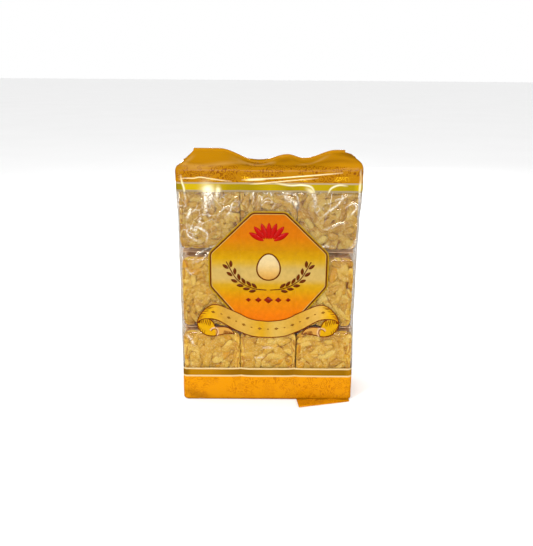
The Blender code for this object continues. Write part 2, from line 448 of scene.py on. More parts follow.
# The roof's rows: the walls' edge turns in a quarter circle, and the film climbs from there to the ridge
def roofRows(ring, shares):
    share = shares[:, None]
    halfWidth = bag["halfWidth"] + bag["headSwell"] - bag["ridgeInset"] * share
    halfDepth = bag["halfDepth"] * (1.0 - share) + bag["sealThickness"] / 2.0 * share
    radius = np.minimum(bag["uprightRadius"], halfDepth / 2.0)
    x, y = ringPoints(ring, halfWidth, halfDepth, radius)
    bend = bag["shoulderRadius"]
    turned = np.minimum(bag["halfDepth"] * share, bend)
    edge = bag["height"] - bend + np.sqrt(bend**2 - (bend - turned) ** 2)
    onEnd = np.abs(ring[:, 2]) == 1.0
    tuck = np.where(onEnd, bag["gussetSink"] * np.sin(math.pi * share) * (1.0 - (y / halfDepth) ** 2), 0.0)
    z = edge + roofClimb(x, share)
    return asPoints(x - tuck * ring[:, 2], y, z)


# The end seal's rows: the slit at the ridge turned over to the rear, then laid down the roof's rear slope
def sealRows(ring, turnShares, runs):
    foot = roofRows(ring, np.array([1.0]))[0]
    x, y, z = foot[:, 0], foot[:, 1], foot[:, 2]
    reach = 1.0 - bag["sealLength"] / bag["halfDepth"]
    slope = np.arctan2(roofClimb(x, 1.0) - roofClimb(x, reach), bag["sealLength"])
    turn = (quarterTurn + slope) * turnShares[:, None]
    run = runs[:, None]
    middleY = bag["sealBend"] * (1.0 - np.cos(turn)) + run * np.sin(turn)
    middleZ = bag["sealBend"] * np.sin(turn) + run * np.cos(turn)
    return asPoints(x, middleY + y * np.cos(turn), z + middleZ - y * np.sin(turn))


# Folds and pulls of the outer film on its front: height and width in millimetres, the strength of the
# painted highlight along the fold from 0 to 1, and a path of (x, z) in millimetres
filmFolds = {
    "leftStreak": (0.4, 1.3, 0.6, ((-84, 238), (-83, 232), (-81, 224), (-80, 206))),
    "headWaveLeft": (0.14, 0.72, 0.75, ((-85, 234), (-80, 235.2), (-72, 235.2), (-66, 236.2),
        (-58, 235.2), (-47, 233.6), (-36, 232.4))),
    "headWaveMiddle": (0.13, 0.75, 0.95, ((-26, 233.8), (-8, 235.0), (12, 236.2), (29, 237.6),
        (50, 239.4), (69, 241.2))),
    "headWaveBlob": (0.2, 1.5, 0.9, ((-22, 234.0), (-14, 234.4), (-4, 234.8))),
    "headWaveLow": (0.12, 0.65, 0.75, ((-18, 230.0), (-8, 230.8), (10, 232.6), (29, 234.4), (46, 236.0))),
    "patchHead": (0.4, 9.4, 0.82, ((-60, 229), (-58, 221), (-58, 210))),
    "patchTail": (0.7, 3.0, 0.9, ((-62, 222), (-61, 212), (-61, 201))),
    "patchBeside": (0.5, 4.0, 0.7, ((-49, 227), (-49, 222), (-52, 216))),
    "loopOver": (0.5, 1.4, 0.8, ((-80, 190), (-73, 188.5), (-65, 186), (-60, 181), (-61, 173))),
    "loopUnder": (0.5, 1.4, 0.8, ((-80, 191), (-79, 181), (-74, 176), (-66, 172.5))),
    "loopAbove": (0.6, 2.2, 0.8, ((-79, 196), (-77, 201), (-75, 206))),
    "diagonalHigh": (0.6, 1.1, 0.5, ((-76, 152), (-68, 161), (-58, 167), (-45, 172))),
    "diagonalLow": (0.5, 1.2, 0.5, ((-76, 151), (-68, 154), (-60, 160), (-54, 166))),
    "middlePatch": (0.75, 3.6, 0.7, ((13, 221), (18, 216), (25, 212), (27, 206))),
    "middleHook": (0.4, 1.4, 0.6, ((8, 220), (18, 221.5), (26, 219), (29, 211))),
    "goldArc": (0.2, 1.2, 0.7, ((6, 231), (20, 229.0), (32, 229.4), (40, 227.5), (44, 221))),
    "rightPull": (0.55, 3.4, 0.55, ((36, 226), (41, 222), (44, 215), (43, 207))),
    "rightArc": (0.3, 1.3, 0.6, ((56, 221), (59, 226.5), (66, 229.6), (74, 229.0))),
    "rightEdge": (0.4, 1.2, 0.6, ((86, 244), (87, 236), (86, 226), (85, 212))),
    "rightWaves": (0.5, 1.5, 0.75, ((50, 198), (60, 206), (66, 211), (70, 217), (78, 220))),
    "rightHollow": (0.5, 1.4, 0.6, ((52, 186), (60, 188), (68, 192), (76, 193))),
    "rightKnot": (0.5, 1.5, 0.8, ((74, 208), (80, 212), (84, 208), (80, 202), (76, 199))),
    "topLeftWave": (0.45, 1.3, 0.7, ((-43, 198), (-38, 203), (-36, 210), (-31, 215))),
    "topLeftRun": (0.4, 1.2, 0.5, ((-52, 196), (-45, 205), (-40, 208), (-30, 207))),
    "lowGlint": (0.7, 2.0, 0.7, ((-84, 75), (-79, 70), (-76, 62))),
    "lowMiddle": (0.6, 1.4, 0.6, ((-6, 60), (0, 61), (5, 60))),
    "lowFar": (0.5, 1.3, 0.6, ((-14, 49.0), (-9, 49.4), (-4, 49.0))),
    "gapGlint": (0.5, 1.4, 0.8, ((50, 167.4), (56, 169.6), (63, 168.4))),
    "rightCorner": (0.5, 1.5, 0.7, ((78, 166), (83, 171), (86, 178))),
    "midLeftGlint": (0.5, 1.5, 0.5, ((-82, 146), (-77, 140), (-73, 143))),
}
# Folds of the roof's front slope: height, width, and a path of (x, y)
roofFolds = {
    "crease": (-0.9, 1.6, ((-20, -14.5), (-13, -16.0), (-5, -16.6))),
    "creaseLip": (0.6, 1.8, ((-22, -11.0), (-13, -12.2), (-2, -13.0))),
    "leftFold": (0.7, 2.4, ((-86, -17), (-76, -21), (-62, -24))),
    "middleFold": (0.6, 2.4, ((-40, -19), (-24, -22), (-4, -23.5), (14, -22))),
    "rightFold": (0.8, 2.6, ((22, -8), (33, -13), (42, -20))),
    "endFold": (0.9, 3.2, ((58, -2), (68, -10), (80, -20))),
}
# Painted shade and painted highlights along the print's folds: how pale, or dark below 0, the width, and a
# path of (x, y) on the roof or (x, z) on the front
roofShades = {
    "crease": (-0.9, 2.2, ((-24, -4.5), (-14, -3.8), (-5, -3.2))),
    "creaseLight": (0.3, 4.5, ((-33, -9), (-18, -10), (0, -9), (7, -7))),
    "leftStreak": (0.2, 3.4, ((-87, -21), (-75, -25), (-60, -24), (-40, -19), (-25, -14))),
    "leftEnd": (0.18, 2.2, ((-82, -25), (-78, -15), (-73, -7))),
    "middleDark": (-0.4, 4.0, ((7, -7), (14, -9), (22, -7))),
    "rightShoulder": (-0.35, 2.8, ((42, -13), (60, -17), (81, -24))),
    "rightLight": (0.22, 2.6, ((28, -17), (44, -11), (58, -4))),
    "rightEnd": (-0.5, 2.4, ((68, -1.5), (75, -7), (81, -13))),
}
frontShades = {
    "baseFold": (-0.45, 3.6, ((-89, 13), (-80, 9), (-69, 5), (-52, 2.5))),
    "baseFoldTip": (-0.35, 2.2, ((-84, 6), (-76, 3.5), (-64, 2))),
}
# The relief's heights and lengths in metres, its spans of height, and what each place adds or takes
filmRelief = {
    "swell": 0.00022,
    "swellLength": 0.045,
    "crinkle": 0.00042,
    "crinkleLength": 0.020,
    "fine": 0.00010,
    "fineLength": 0.0075,
    "sharpness": 3.0,
    "plainRough": 0.45,
    "headAdds": 0.55,
    "headSpan": (0.150, 0.200),
    "bandTakes": 0.65,
    "bandSpan": (0.221, 0.228),
    "footTakes": 0.6,
    "footSpan": (-0.036, -0.028),
    "labelTakes": 0.93,
    "labelTakesSwell": 0.8,
    "paintedGlintWidth": 0.55,
    "seed": 7,
}
# The patch of the label and its ribbon, where the film lies smooth
calmPatch = {"halfWidth": 0.066, "middle": 0.137, "halfHeight": 0.072}


# A fold at (x, z), any two coordinates that its path is drawn in: a bell of the distance to the path, over
# the fold's width, fading towards both ends
def foldBell(x, z, path, width):
    path = smoothCurve(np.array(path) * millimetre, 24)
    start, step = path[:-1], np.diff(path, axis=0)
    place = asPoints(x, z)[..., None, :]
    share = np.clip(((place - start) * step).sum(-1) / (step**2).sum(-1), 0.0, 1.0)
    gap = place - (start + step * share[..., None])
    distance = np.sqrt((gap**2).sum(-1))
    nearest = distance.argmin(axis=-1)[..., None]
    distance, share = (np.take_along_axis(values, nearest, -1)[..., 0] for values in (distance, share))
    along = (nearest[..., 0] + share) / len(step)
    fade = np.sin(math.pi * np.clip(along, 0.02, 0.98)) ** 0.5
    return fade * np.exp(-((distance / (width * millimetre)) ** 2))


# 1 on the label and its ribbon, where the film lies smooth, and 0 away from it
def labelCalm(x, z):
    across = np.abs(x) / calmPatch["halfWidth"]
    up = np.abs(z - calmPatch["middle"]) / calmPatch["halfHeight"]
    return 1.0 - ease((across**4 + up**4) ** 0.25, 0.86, 1.06)


# How far the film stands off its even form: long swells, a net of creases and the folds on the front
def reliefHeight(points, onFront):
    look, seed = filmRelief, filmRelief["seed"]
    x, z = points[..., 0], points[..., 2]
    calm = np.where(onFront, labelCalm(x, z), 0.0)
    swell = softWaves(points, look["swellLength"], seed)
    crinkle = creaseWaves(points, look["crinkleLength"], seed + 1, look["sharpness"]) - 0.5
    fine = creaseWaves(points, look["fineLength"], seed + 2, look["sharpness"]) - 0.5
    rough = look["plainRough"] + look["headAdds"] * ease(z, *look["headSpan"])
    rough = rough - look["bandTakes"] * ease(z, *look["bandSpan"])
    rough = (1.0 - look["labelTakes"] * calm) * rough
    rough = rough * (1.0 - look["footTakes"] * ease(-z, *look["footSpan"]))
    height = look["swell"] * swell * (1.0 - look["labelTakesSwell"] * calm)
    height = height + rough * (look["crinkle"] * crinkle + look["fine"] * fine)
    for rise, width, _, path in filmFolds.values():
        height = height + np.where(onFront, rise * millimetre * foldBell(x, z, path, width), 0.0)
    return height


# How bright the painted highlight along the film's folds is, from 0 to 1
def paintedFoldGlint(points, onFront):
    x, z = points[..., 0], points[..., 2]
    paintedGlint = np.zeros(x.shape)
    for _, width, glintStrength, path in filmFolds.values():
        bell = foldBell(x, z, path, width * filmRelief["paintedGlintWidth"])
        paintedGlint = np.maximum(paintedGlint, glintStrength * bell)
    return np.where(onFront, paintedGlint, 0.0)


# The film's front at (x, z), lifted off it: the even face, less its groove, plus its relief
def frontPoints(x, z, lift):
    halfWidth = bag["halfWidth"]
    evenX = x / (1.0 + sideShift(x, z) / halfWidth)
    along = 0.5 + evenX / (2.0 * (halfWidth - bag["uprightRadius"]))
    evenY = -bag["halfDepth"] + grooveSink(along, z / bag["height"], bag["columns"])
    points = asPoints(x, evenY, z)
    points[..., 1] -= reliefHeight(points, np.ones(x.shape, bool)) + lift
    return points


# Outward normals of a grid of points that wraps round its columns: across the rows crossed with up them
def gridNormals(points):
    across = np.roll(points, -1, axis=1) - np.roll(points, 1, axis=1)
    up = np.gradient(points, axis=0)
    normals = np.cross(across, up)
    return normals / np.maximum(np.linalg.norm(normals, axis=-1, keepdims=True), 1e-12)


filmGrid = {
    "front": 290,
    "side": 5,
    "corner": 5,
    "rear": 30,
    "baseRows": 3,
    "wallRows": (14, 114, 44, 32),
    "rowBreaks": (0.0371, 0.192, 0.2223),  # the first and the last are the edges of the clear window
    "roofStart": (0.018, 0.05, 0.085, 0.125),
    "roofRows": 26,
    "bendRows": 6,
    "sealRows": 16,
    "flatRows": (3, 12),  # the rows above the base where relief begins
    "ridgeTakes": 0.75,
    "crimpHeight": 0.00010,
    "crimpCount": 4,
}


# The whole outer film: base edge, walls, roof and end seal as one grid, with relief along its normals
def buildFilm(printed, clear):
    grid = filmGrid
    ring = ringShares(grid["front"], grid["side"], grid["corner"], grid["rear"])
    turn = np.linspace(0.0, quarterTurn, grid["baseRows"] + 1)[:-1]
    radius = bag["baseRadius"]
    wallTop = bag["height"] - bag["shoulderRadius"]
    breaks = (radius, *grid["rowBreaks"], wallTop)
    spans = [np.linspace(low, high, rows, endpoint=False)
             for low, high, rows in zip(breaks, breaks[1:], grid["wallRows"])]
    heights = np.concatenate((radius * (1.0 - np.cos(turn)), *spans, [wallTop]))
    insets = np.concatenate((radius * (1.0 - np.sin(turn)), np.zeros(len(heights) - len(turn))))
    walls = wallRows(ring, heights, insets)
    roofTop = np.linspace(grid["roofStart"][-1], 1.0, grid["roofRows"])
    roof = roofRows(ring, np.concatenate((grid["roofStart"][:-1], roofTop)))
    bendShares = np.linspace(0.0, 1.0, grid["bendRows"] + 1)[1:]
    runs = np.linspace(0.0, bag["sealLength"], grid["sealRows"] + 1)[1:]
    seal = sealRows(ring, np.concatenate((bendShares, np.ones(len(runs)))),
                    np.concatenate((np.zeros(len(bendShares)), runs)))
    points = np.concatenate((walls, roof, seal))
    onRoof = slice(len(walls), len(walls) + len(roof))
    outward = gridNormals(points)
    outward[:len(walls)] = asPoints(ring[:, 2], ring[:, 3], 0.0)
    onFront = (points[..., 1] < -0.6 * bag["halfDepth"]) & (outward[..., 1] < -0.7)
    onFront[len(walls):] = False
    height, paintedGlint = reliefHeight(points, onFront), paintedFoldGlint(points, onFront)
    shade = np.zeros(paintedGlint.shape)
    for tone, width, path in frontShades.values():
        shade += np.where(onFront, tone * foldBell(points[..., 0], points[..., 2], path, width), 0.0)
    roofX, roofY = points[onRoof, :, 0], points[onRoof, :, 1]
    inFront = ease(-roofY, 0.0, 0.004)
    for rise, width, path in roofFolds.values():
        height[onRoof] += rise * millimetre * foldBell(roofX, roofY, path, width) * inFront
    for tone, width, path in roofShades.values():
        shade[onRoof] += tone * foldBell(roofX, roofY, path, width) * (roofY < 0.0)
    row = np.arange(len(points))[:, None]
    height = height * ease(row, *grid["flatRows"])
    height = height * (1.0 - grid["ridgeTakes"] * ease(row, onRoof.start + 8, onRoof.stop - 4))
    crimp = np.zeros(len(points))
    phase = np.arange(len(runs)) / len(runs) * grid["crimpCount"] * wholeTurn
    crimp[-len(runs):] = grid["crimpHeight"] * np.sin(phase)
    height = np.where(row >= onRoof.stop, crimp[:, None], height)
    points = points + outward * height[..., None]
    rows, columns = points.shape[:2]
    quads, places = gridFaces(rows, columns, wrapped=True)
    places = filmPlaces(places, ring, grid)
    base = np.arange(columns)[None, ::-1]
    basePlaces = asPoints(0.5 + points[0, ::-1, 0] * 5.0, 0.95 + points[0, ::-1, 1] * 1.2)[None]
    lid, lidPlaces = zipFaces((rows - 1) * columns, ring, points[-1])
    window = [columns * int(np.argmin(np.abs(heights - grid["rowBreaks"][end]))) for end in (0, -1)]
    return makePiece("printed_bag", points, [quads, base, lid], [places, basePlaces, lidPlaces], printed,
                     {"paintedGlint": paintedGlint, "shade": shade}, clear, window)


# Places of the film's quads on its map: the front takes the larger part of the map's width
def filmPlaces(places, ring, counts):
    total = len(ring)
    frontStart = (counts["side"] + 1) / total
    frontEnd = frontStart + (counts["front"] + 2 * counts["corner"]) / total
    across = places[..., 0]
    spread = np.interp(across, (0.0, frontStart, frontEnd, 1.0), (0.0, 0.06, 0.70, 1.0))
    return asPoints(spread * 0.99 + 0.005, places[..., 1] * 0.89 + 0.005)


# Triangles that shut the end seal: along the front and the rear of its last ring at once, each step of one
# side meets the point that the other side has come to, by shares of their lengths
def zipFaces(first, ring, lastPoints):
    right = np.flatnonzero((ring[:, 0] == 1.0) & (np.abs(ring[:, 1]) < 1e-6))[0]
    front = np.arange(0, right + 1)
    rear = np.concatenate(([0], np.arange(len(ring) - 1, right - 1, -1)))
    shares = []
    for chain in (front, rear):
        length = np.linalg.norm(np.diff(lastPoints[chain], axis=0), axis=1).cumsum()
        shares.append(np.concatenate(([0.0], length)) / length[-1])
    frontShare, rearShare = shares
    frontMiddle, rearMiddle = ((share[1:] + share[:-1]) / 2.0 for share in shares)
    onRear = np.searchsorted(rearMiddle, frontMiddle)
    onFront = np.searchsorted(frontMiddle, rearMiddle, side="right")
    triangles, across = (np.concatenate((asPoints(ahead[:-1], ahead[1:], behind[onRear]),
                                         asPoints(behind[1:], behind[:-1], ahead[onFront])))
                         for ahead, behind in ((front, rear), (frontShare, rearShare)))
    up = np.repeat(((0.9, 0.9, 0.91), (0.91, 0.91, 0.9)), (len(front) - 1, len(rear) - 1), axis=0)
    real = (triangles[:, 0] != triangles[:, 2]) & (triangles[:, 1] != triangles[:, 2])
    return first + triangles[real], asPoints(across * 0.9, up)[real]


# Print on the film, by height in millimetres, and its swatches; greys from 0 to 255 are shares
filmPrint = {
    "roughness": 0.19,
    "strength": 0.60,
    "tones": {
        "orangeLow": (240, 156, 3),
        # The top band's and the roof's orange: the same ink as below, with painted shade
        "orangeShadedHigh": (186, 124, 2),
        "orangeShadedRoof": (202, 137, 3),
        "cream": (240, 208, 146),
        "goldLow": (184, 126, 3),
        "goldHigh": (204, 172, 6),
        "silver": (184, 160, 116),
        "silverLow": (168, 146, 110),
    },
    "lowLines": (27.0, 28.8, 35.2, 37.1),
    "highLines": (222.3, 224.1, 229.8, 231.5),
    "roofSpan": (243.5, 247.0),
    "goldShine": (  # painted sheen of the gold ink, by the distance from the middle
        (-92.0, (180, 180, 160)), (-84.0, (200, 200, 170)), (-80.0, (255, 255, 255)),
        (-60.0, (255, 255, 255)), (-38.0, (214, 212, 190)), (-18.0, (205, 205, 200)),
        (2.0, (235, 235, 230)), (20.0, (206, 206, 200)), (42.0, (236, 236, 230)),
        (80.0, (214, 214, 210)), (85.0, (255, 255, 245)), (92.0, (240, 240, 230))),
    "scrollRows": ((6.0, 84), (24.0, 84), (27.0, 0), (236.5, 0), (239.0, 112), (244.0, 112), (246.0, 0)),
    "scrollDepth": ((30.0, 206), (240.0, 255)),
    "scrollGlintRows": ((232.5, 0), (233.5, 255), (237.0, 255), (238.0, 0)),
    "scrollTint": (196, 164, 124),
    "scrollGlint": (236, 184, 24, 0.8),
    "paintedHighlightTone": (226, 186, 116, 0.8),
    "paintedShadeTone": (112, 64, 2, 0.8),
    "footShade": ((0.0, 222), (1.2, 200), (2.4, 152), (4.2, 112), (8.0, 80), (14.0, 0)),
    "glintOnPrint": (255, 241, 184),
    "glintOnGold": (247, 241, 214),
}


# Scrolls in the orange: rings round the points of a warped cell pattern, in soft patches
def scrollShare(desk, z):
    warp = desk.add("ShaderNodeTexNoise", Vector=desk.place, Scale=80.0, Detail=1.0)
    shifted = desk.add("ShaderNodeVectorMath", {"operation": "MULTIPLY_ADD"})
    for socket, value in zip(shifted.inputs, (warp.outputs["Color"], (0.010, 0.010, 0.010), desk.place)):
        desk.feed(socket, value)
    cells = desk.add("ShaderNodeTexVoronoi", Vector=shifted.outputs[0], Scale=185.0)
    rings = desk.sum("COSINE", desk.times(cells.outputs["Distance"], 21.0))  # -1 on each ring
    scroll = desk.fall(rings, -0.80, -0.30)
    cuts = desk.rise(desk.noise(120.0, 1.0), 0.38, 0.46)
    # The patches run together in a row under the front's top edge
    row = desk.greys(z, *filmPrint["scrollRows"])
    patches = desk.rise(desk.plus(desk.noise(24.0, 1.0), row), 0.42, 0.49)
    return desk.times(scroll, cuts, patches)


# The printed film: bands by height, scrolls in the orange, and painted highlights and painted shade
def printMaterial():
    look = filmPrint
    desk = NodeDesk("printedFilm", look["roughness"])
    tones = {key: swatch(*tone, look["strength"]) for key, tone in look["tones"].items()}
    x, z = desk.times(desk.x, perMetre), desk.times(desk.z, perMetre)
    low, high = look["lowLines"], look["highLines"]
    # Each end has a ramp of its own, as a ramp has only 256 steps
    lowBands = desk.ramp(z, ((0.0, tones["orangeLow"]), (low[0], tones["cream"]), (low[1], tones["goldLow"]),
                             (low[2], tones["cream"]), (45.0, tones["cream"])), "CONSTANT")
    highBands = desk.ramp(z, (
        (215.0, tones["silverLow"]), (high[1], tones["goldHigh"]), (high[2], tones["silver"]),
        (high[3], tones["orangeShadedHigh"]), (245.0, tones["orangeShadedHigh"])), "CONSTANT")
    bands = desk.mix(desk.sum("GREATER_THAN", z, 130.0), lowBands, highBands)
    bands = desk.mix(desk.rise(z, *look["roofSpan"]), bands, tones["orangeShadedRoof"])
    gold = desk.sum("MAXIMUM", desk.between(z, low[1], low[2]), desk.between(z, high[1], high[2]))
    colour = desk.mix(gold, bands, desk.tinted(bands, desk.tints(x, look["goldShine"])))
    orange = desk.sum("MAXIMUM", desk.between(z, 0.0, low[0]), desk.between(z, high[3], look["roofSpan"][1]))
    share = desk.times(scrollShare(desk, z), desk.times(orange, desk.greys(z, *look["scrollDepth"])))
    # The scrolls are brown, but a few below the front's top edge get a painted glint
    bright = desk.times(desk.greys(z, *look["scrollGlintRows"]), desk.rise(desk.noise(34.0, 1.0), 0.50, 0.56))
    brown = desk.tinted(colour, swatch(*look["scrollTint"]))
    colour = desk.mix(share, colour, desk.mix(bright, brown, swatch(*look["scrollGlint"])))
    # Painted shade and painted highlight streaks along the print's folds
    shade = desk.attribute("shade")
    colour = desk.mix(desk.sum("MAXIMUM", shade, 0.0), colour, swatch(*look["paintedHighlightTone"]))
    # Painted shade: darker towards the floor, but not on the corner that sticks out in front of the bag
    onBag = desk.sum("GREATER_THAN", desk.y, -bag["halfDepth"] - millimetre)
    under = desk.times(desk.greys(z, *look["footShade"]), onBag)
    dark = desk.sum("MAXIMUM", desk.times(shade, -1.0), under)
    colour = desk.mix(dark, colour, swatch(*look["paintedShadeTone"]))
    # Painted highlights along the folds, paler over the gold
    glintColour = desk.mix(gold, swatch(*look["glintOnPrint"]), swatch(*look["glintOnGold"]))
    colour = desk.mix(desk.attribute("paintedGlint"), colour, glintColour)
    desk.bump(desk.noise(60.0, 2.0, 0.5, 0.6), 0.0007, 0.6)
    return desk.set(Base_Color=colour, Specular_IOR_Level=0.16)


# The clear film's shares of light, from 0 to 255 at heights in millimetres, and its swatches
filmClear = {
    "roughness": 0.07,
    "least": 0.10,
    "most": 0.45,
    "power": 2.6,
    "haze": 0.52,
    "hazePower": 2.4,
    "tint": (240, 230, 208),
    "slantShade": (128, 108, 82),
    # milk: a painted reflection veil that grows towards the pack's head
    "milk": ((40.0, 10), (150.0, 16), (185.0, 46), (225.0, 54)),
    # the next two: painted highlights on crests and wrinkle lines, by height
    "crests": ((60.0, 40), (160.0, 90), (195.0, 172), (225.0, 180)),
    "wrinkleGlints": ((38.0, 60), (120.0, 60), (165.0, 130), (190.0, 235), (225.0, 235)),
}


# The clear film: it mirrors a little, with a painted reflection veil at its head, painted highlights along
# its creases and folds, and painted shade where it is seen at a slant
def clearMaterial(name="clearFilm", least=filmClear["least"], haze=0.0):
    look = filmClear
    desk = NodeDesk(name, look["roughness"])
    z = desk.times(desk.z, perMetre)
    away = desk.labelAway()
    share = desk.mirrorShare(least, look["most"], look["power"])
    # Painted reflection veil, growing towards the head; haze where film is seen along its surface
    milk = desk.plus(desk.greys(z, *look["milk"]), desk.mirrorShare(haze, look["haze"], look["hazePower"]))
    # Painted highlights on the crests of a ridged noise, stronger towards the head
    crests = desk.rise(desk.noise(70.0, 3.0, 0.55, 1.2, kind="RIDGED_MULTIFRACTAL"), 0.62, 0.95)
    crests = desk.times(crests, desk.greys(z, *look["crests"]), away)
    # The painted highlight along the folds, broken up by fine noise
    broken = desk.greys(desk.noise(560.0, 2.0, 0.6), (0.42, 120), (0.56, 255))
    paintedGlint = desk.times(desk.attribute("paintedGlint"), broken)
    # Painted glints on thin wrinkle lines, where a crinkled noise passes its middle value, in patches
    level = desk.sum("ABSOLUTE", desk.sum("SUBTRACT", desk.noise(44.0, 3.0, 0.55, 1.6), 0.5))
    wrinkleGlints = desk.times(desk.fall(level, 0.0, 0.012), desk.rise(desk.noise(30.0), 0.46, 0.56))
    wrinkleGlints = desk.times(wrinkleGlints, desk.times(desk.greys(z, *look["wrinkleGlints"]), away))
    crests = desk.sum("MAXIMUM", crests, wrinkleGlints)
    alpha, metallic = desk.clearFilm(share, desk.plus(milk, desk.sum("MAXIMUM", crests, paintedGlint)))
    creases = desk.noise(46.0, 2.0, 0.5, 0.8, kind="RIDGED_MULTIFRACTAL")
    where = desk.greys(desk.noise(26.0, 1.0), (0.38, 90), (0.62, 255))
    desk.bump(desk.plus(desk.times(creases, where, away), desk.times(desk.noise(210.0), 0.05)), 0.0011)
    # Painted shade: film seen at a slant, as at the bag's margins, is dark brown
    slant = desk.mirrorShare(0.0, 1.0, look["power"])
    colour = desk.mix(slant, swatch(*look["tint"]), swatch(*look["slantShade"]))
    return desk.set(Base_Color=colour, Alpha=alpha, Metallic=metallic)


seam = {
    "width": 0.012,
    "proud": 0.0007,
    "sink": 0.0012,
    "endGap": 0.012,
    "wave": 0.00025,
    "waveLength": 0.03,
    "ribHeight": 0.00006,
    "ribLength": 0.0016,
    "around": 28,
    "rows": (30, 190, 20),
    "seed": 5,
}


# The long seam: a flat strip up the back, thin at both edges, with cross ribs from the sealing jaws
def buildSeam(printed, clear):
    around = wholeTurns(seam["around"])
    low, high = filmGrid["rowBreaks"][0], filmGrid["rowBreaks"][-1]
    footRows, windowRows, headRows = seam["rows"]
    up = np.concatenate((np.linspace(seam["endGap"], low, footRows, endpoint=False),
                         np.linspace(low, high, windowRows, endpoint=False),
                         np.linspace(high, bag["height"] - seam["endGap"], headRows)))[:, None]
    side, out = bowed(np.cos(around), 0.5), bowed(np.sin(around), 0.5)
    wave = softWaves(np.concatenate((up, up * 0.3), axis=1), seam["waveLength"], seam["seed"])[:, None]
    rib = seam["ribHeight"] * np.cos(up / seam["ribLength"] * wholeTurn)
    x = seam["width"] / 2.0 * side + seam["wave"] * wave
    middle = bag["halfDepth"] + (seam["proud"] - seam["sink"]) / 2.0
    y = middle + out * (seam["proud"] + seam["sink"]) / 2.0 + rib * np.clip(out, 0.0, 1.0)
    window = (footRows * len(around), (footRows + windowRows) * len(around))
    closeTube("back_seam", asPoints(x, y, up), printed, clear, window)


# A tube of rings closed by one flat face at each end
def closeTube(name, points, material, second=None, secondFaces=(0, 0)):
    quads, ends, places, endPlaces = tubeFaces(*points.shape[:2], 0.005, (0.99, 0.93), 0.02, 0.97)
    makePiece(name, points, [quads, ends], [places, endPlaces], material, None, second, secondFaces)


corner = {
    "lift": 0.0002,
    "thickness": 0.0012,
    "left": 0.0300,
    "tip": (0.0328, 0.0165),  # across, and out from the bag's front
    "end": (0.0865, 0.0035),
    "buried": 0.008,
    "rise": 0.0006,
    "riseLength": 0.022,
    "riseRange": (-0.0003, 0.0008),
    "rows": 60,
    "around": 40,
    "seed": 3,
}


# The folded corner: from the bag's front out to a straight slanting edge, rounded at the edge, a little wavy
def buildCorner(material):
    share = np.linspace(0.0, 1.0, corner["rows"])[:, None]
    front = -bag["halfDepth"]
    edgeX = corner["tip"][0] + (corner["end"][0] - corner["tip"][0]) * share
    edgeY = front - corner["tip"][1] + (corner["tip"][1] - corner["end"][1]) * share
    backX = corner["left"] + (corner["end"][0] - corner["left"]) * share
    backY = front + corner["buried"]
    turn = wholeTurns(corner["around"])
    reach = 0.5 - 0.5 * bowed(np.cos(turn), 0.35)
    thick = bowed(np.sin(turn), 0.5)
    x = edgeX + (backX - edgeX) * reach
    y = edgeY + (backY - edgeY) * reach
    rise = corner["rise"] * softWaves(asPoints(x, y), corner["riseLength"], corner["seed"]) * (thick > 0)
    z = corner["lift"] + corner["thickness"] * (0.5 + 0.5 * thick) + np.clip(rise, *corner["riseRange"])
    closeTube("base_corner", asPoints(x, y, z), material)


# The panel in millimetres, the height of its layers over the film in metres, and its swatches
labelLook = {
    "topHalf": 16.2,
    "sideHalf": 58.3,
    "top": 202.7,
    "sideHigh": 161.5,
    "sideLow": 127.0,
    "bottom": 84.0,
    "bottomHalf": 23.0,
    "cornerRound": 3.0,
    "cornerPoints": 7,
    "outlinePoints": 240,
    "panelGrid": (150, 180),
    "goldWidth": 1.2,
    "brownWidth": 1.6,
    "paleWidth": 0.6,
    "overlap": 0.05,
    "lift": 0.00012,
    "step": 0.00016,
    "thickness": 0.00006,
    "strength": 0.55,
    "gold": (205, 160, 14),
    "brown": (112, 46, 2),
    "pale": (232, 186, 92),
    "panel": (
        (84.0, (252, 124, 4)), (96.0, (250, 128, 5)), (112.0, (240, 143, 4)), (124.0, (226, 166, 8)),
        (129.0, (224, 172, 30)), (135.0, (222, 184, 100)), (145.0, (218, 183, 100)), (151.0, (222, 176, 52)),
        (156.0, (220, 166, 6)), (163.0, (212, 149, 2)), (178.0, (226, 126, 2)), (203.0, (220, 114, 3))),
}


# A thin closed sheet on the film's front from grids of (x, z) in millimetres, all grids of one size
def buildDecal(name, grids, lift, material):
    grids = np.asarray(grids, float) * millimetre
    if grids.ndim == 3:
        grids = grids[None]
    count, rows, columns = grids.shape[:3]
    low, high, diagonal = (grids[:, row, column] - grids[:, 0, 0]
                           for row, column in ((0, -1), (-1, 0), (-1, -1)))
    area = low[:, 0] * diagonal[:, 1] - low[:, 1] * diagonal[:, 0]
    area = area + diagonal[:, 0] * high[:, 1] - diagonal[:, 1] * high[:, 0]
    # Grids that run the other way round are turned, so that their faces look outward
    grids = np.where((area < 0.0)[:, None, None, None], grids[:, :, ::-1], grids)
    outer = frontPoints(grids[..., 0], grids[..., 1], lift)
    points = np.stack((outer, outer + (0.0, labelLook["thickness"], 0.0)), axis=1)
    quads, places = gridFaces(rows, columns)
    size = rows * columns
    rim = np.concatenate((np.arange(columns - 1), np.arange(columns - 1, size - 1, columns),
                          np.arange(size - 1, size - columns, -1), np.arange(size - columns, 0, -columns)))
    after = np.roll(rim, -1)
    faces = np.concatenate((quads, quads[:, ::-1] + size, asPoints(after, rim, rim + size, after + size)))
    share = np.arange(len(rim)) / len(rim)
    later = share + 1.0 / len(rim)
    rimPlaces = asPoints(asPoints(later, share, share, later), (0.92, 0.92, 0.94, 0.94))
    backPlaces = places[:, ::-1] * (1.0, 0.04) + (0.0, 0.955)
    places = 0.04 + 0.92 * np.concatenate((places * (1.0, 0.9), backPlaces, rimPlaces))
    faces, places = repeatFaces(faces, places, count, 2 * size, math.ceil(math.sqrt(count)))
    makePiece(name, points, [faces], [places], material)


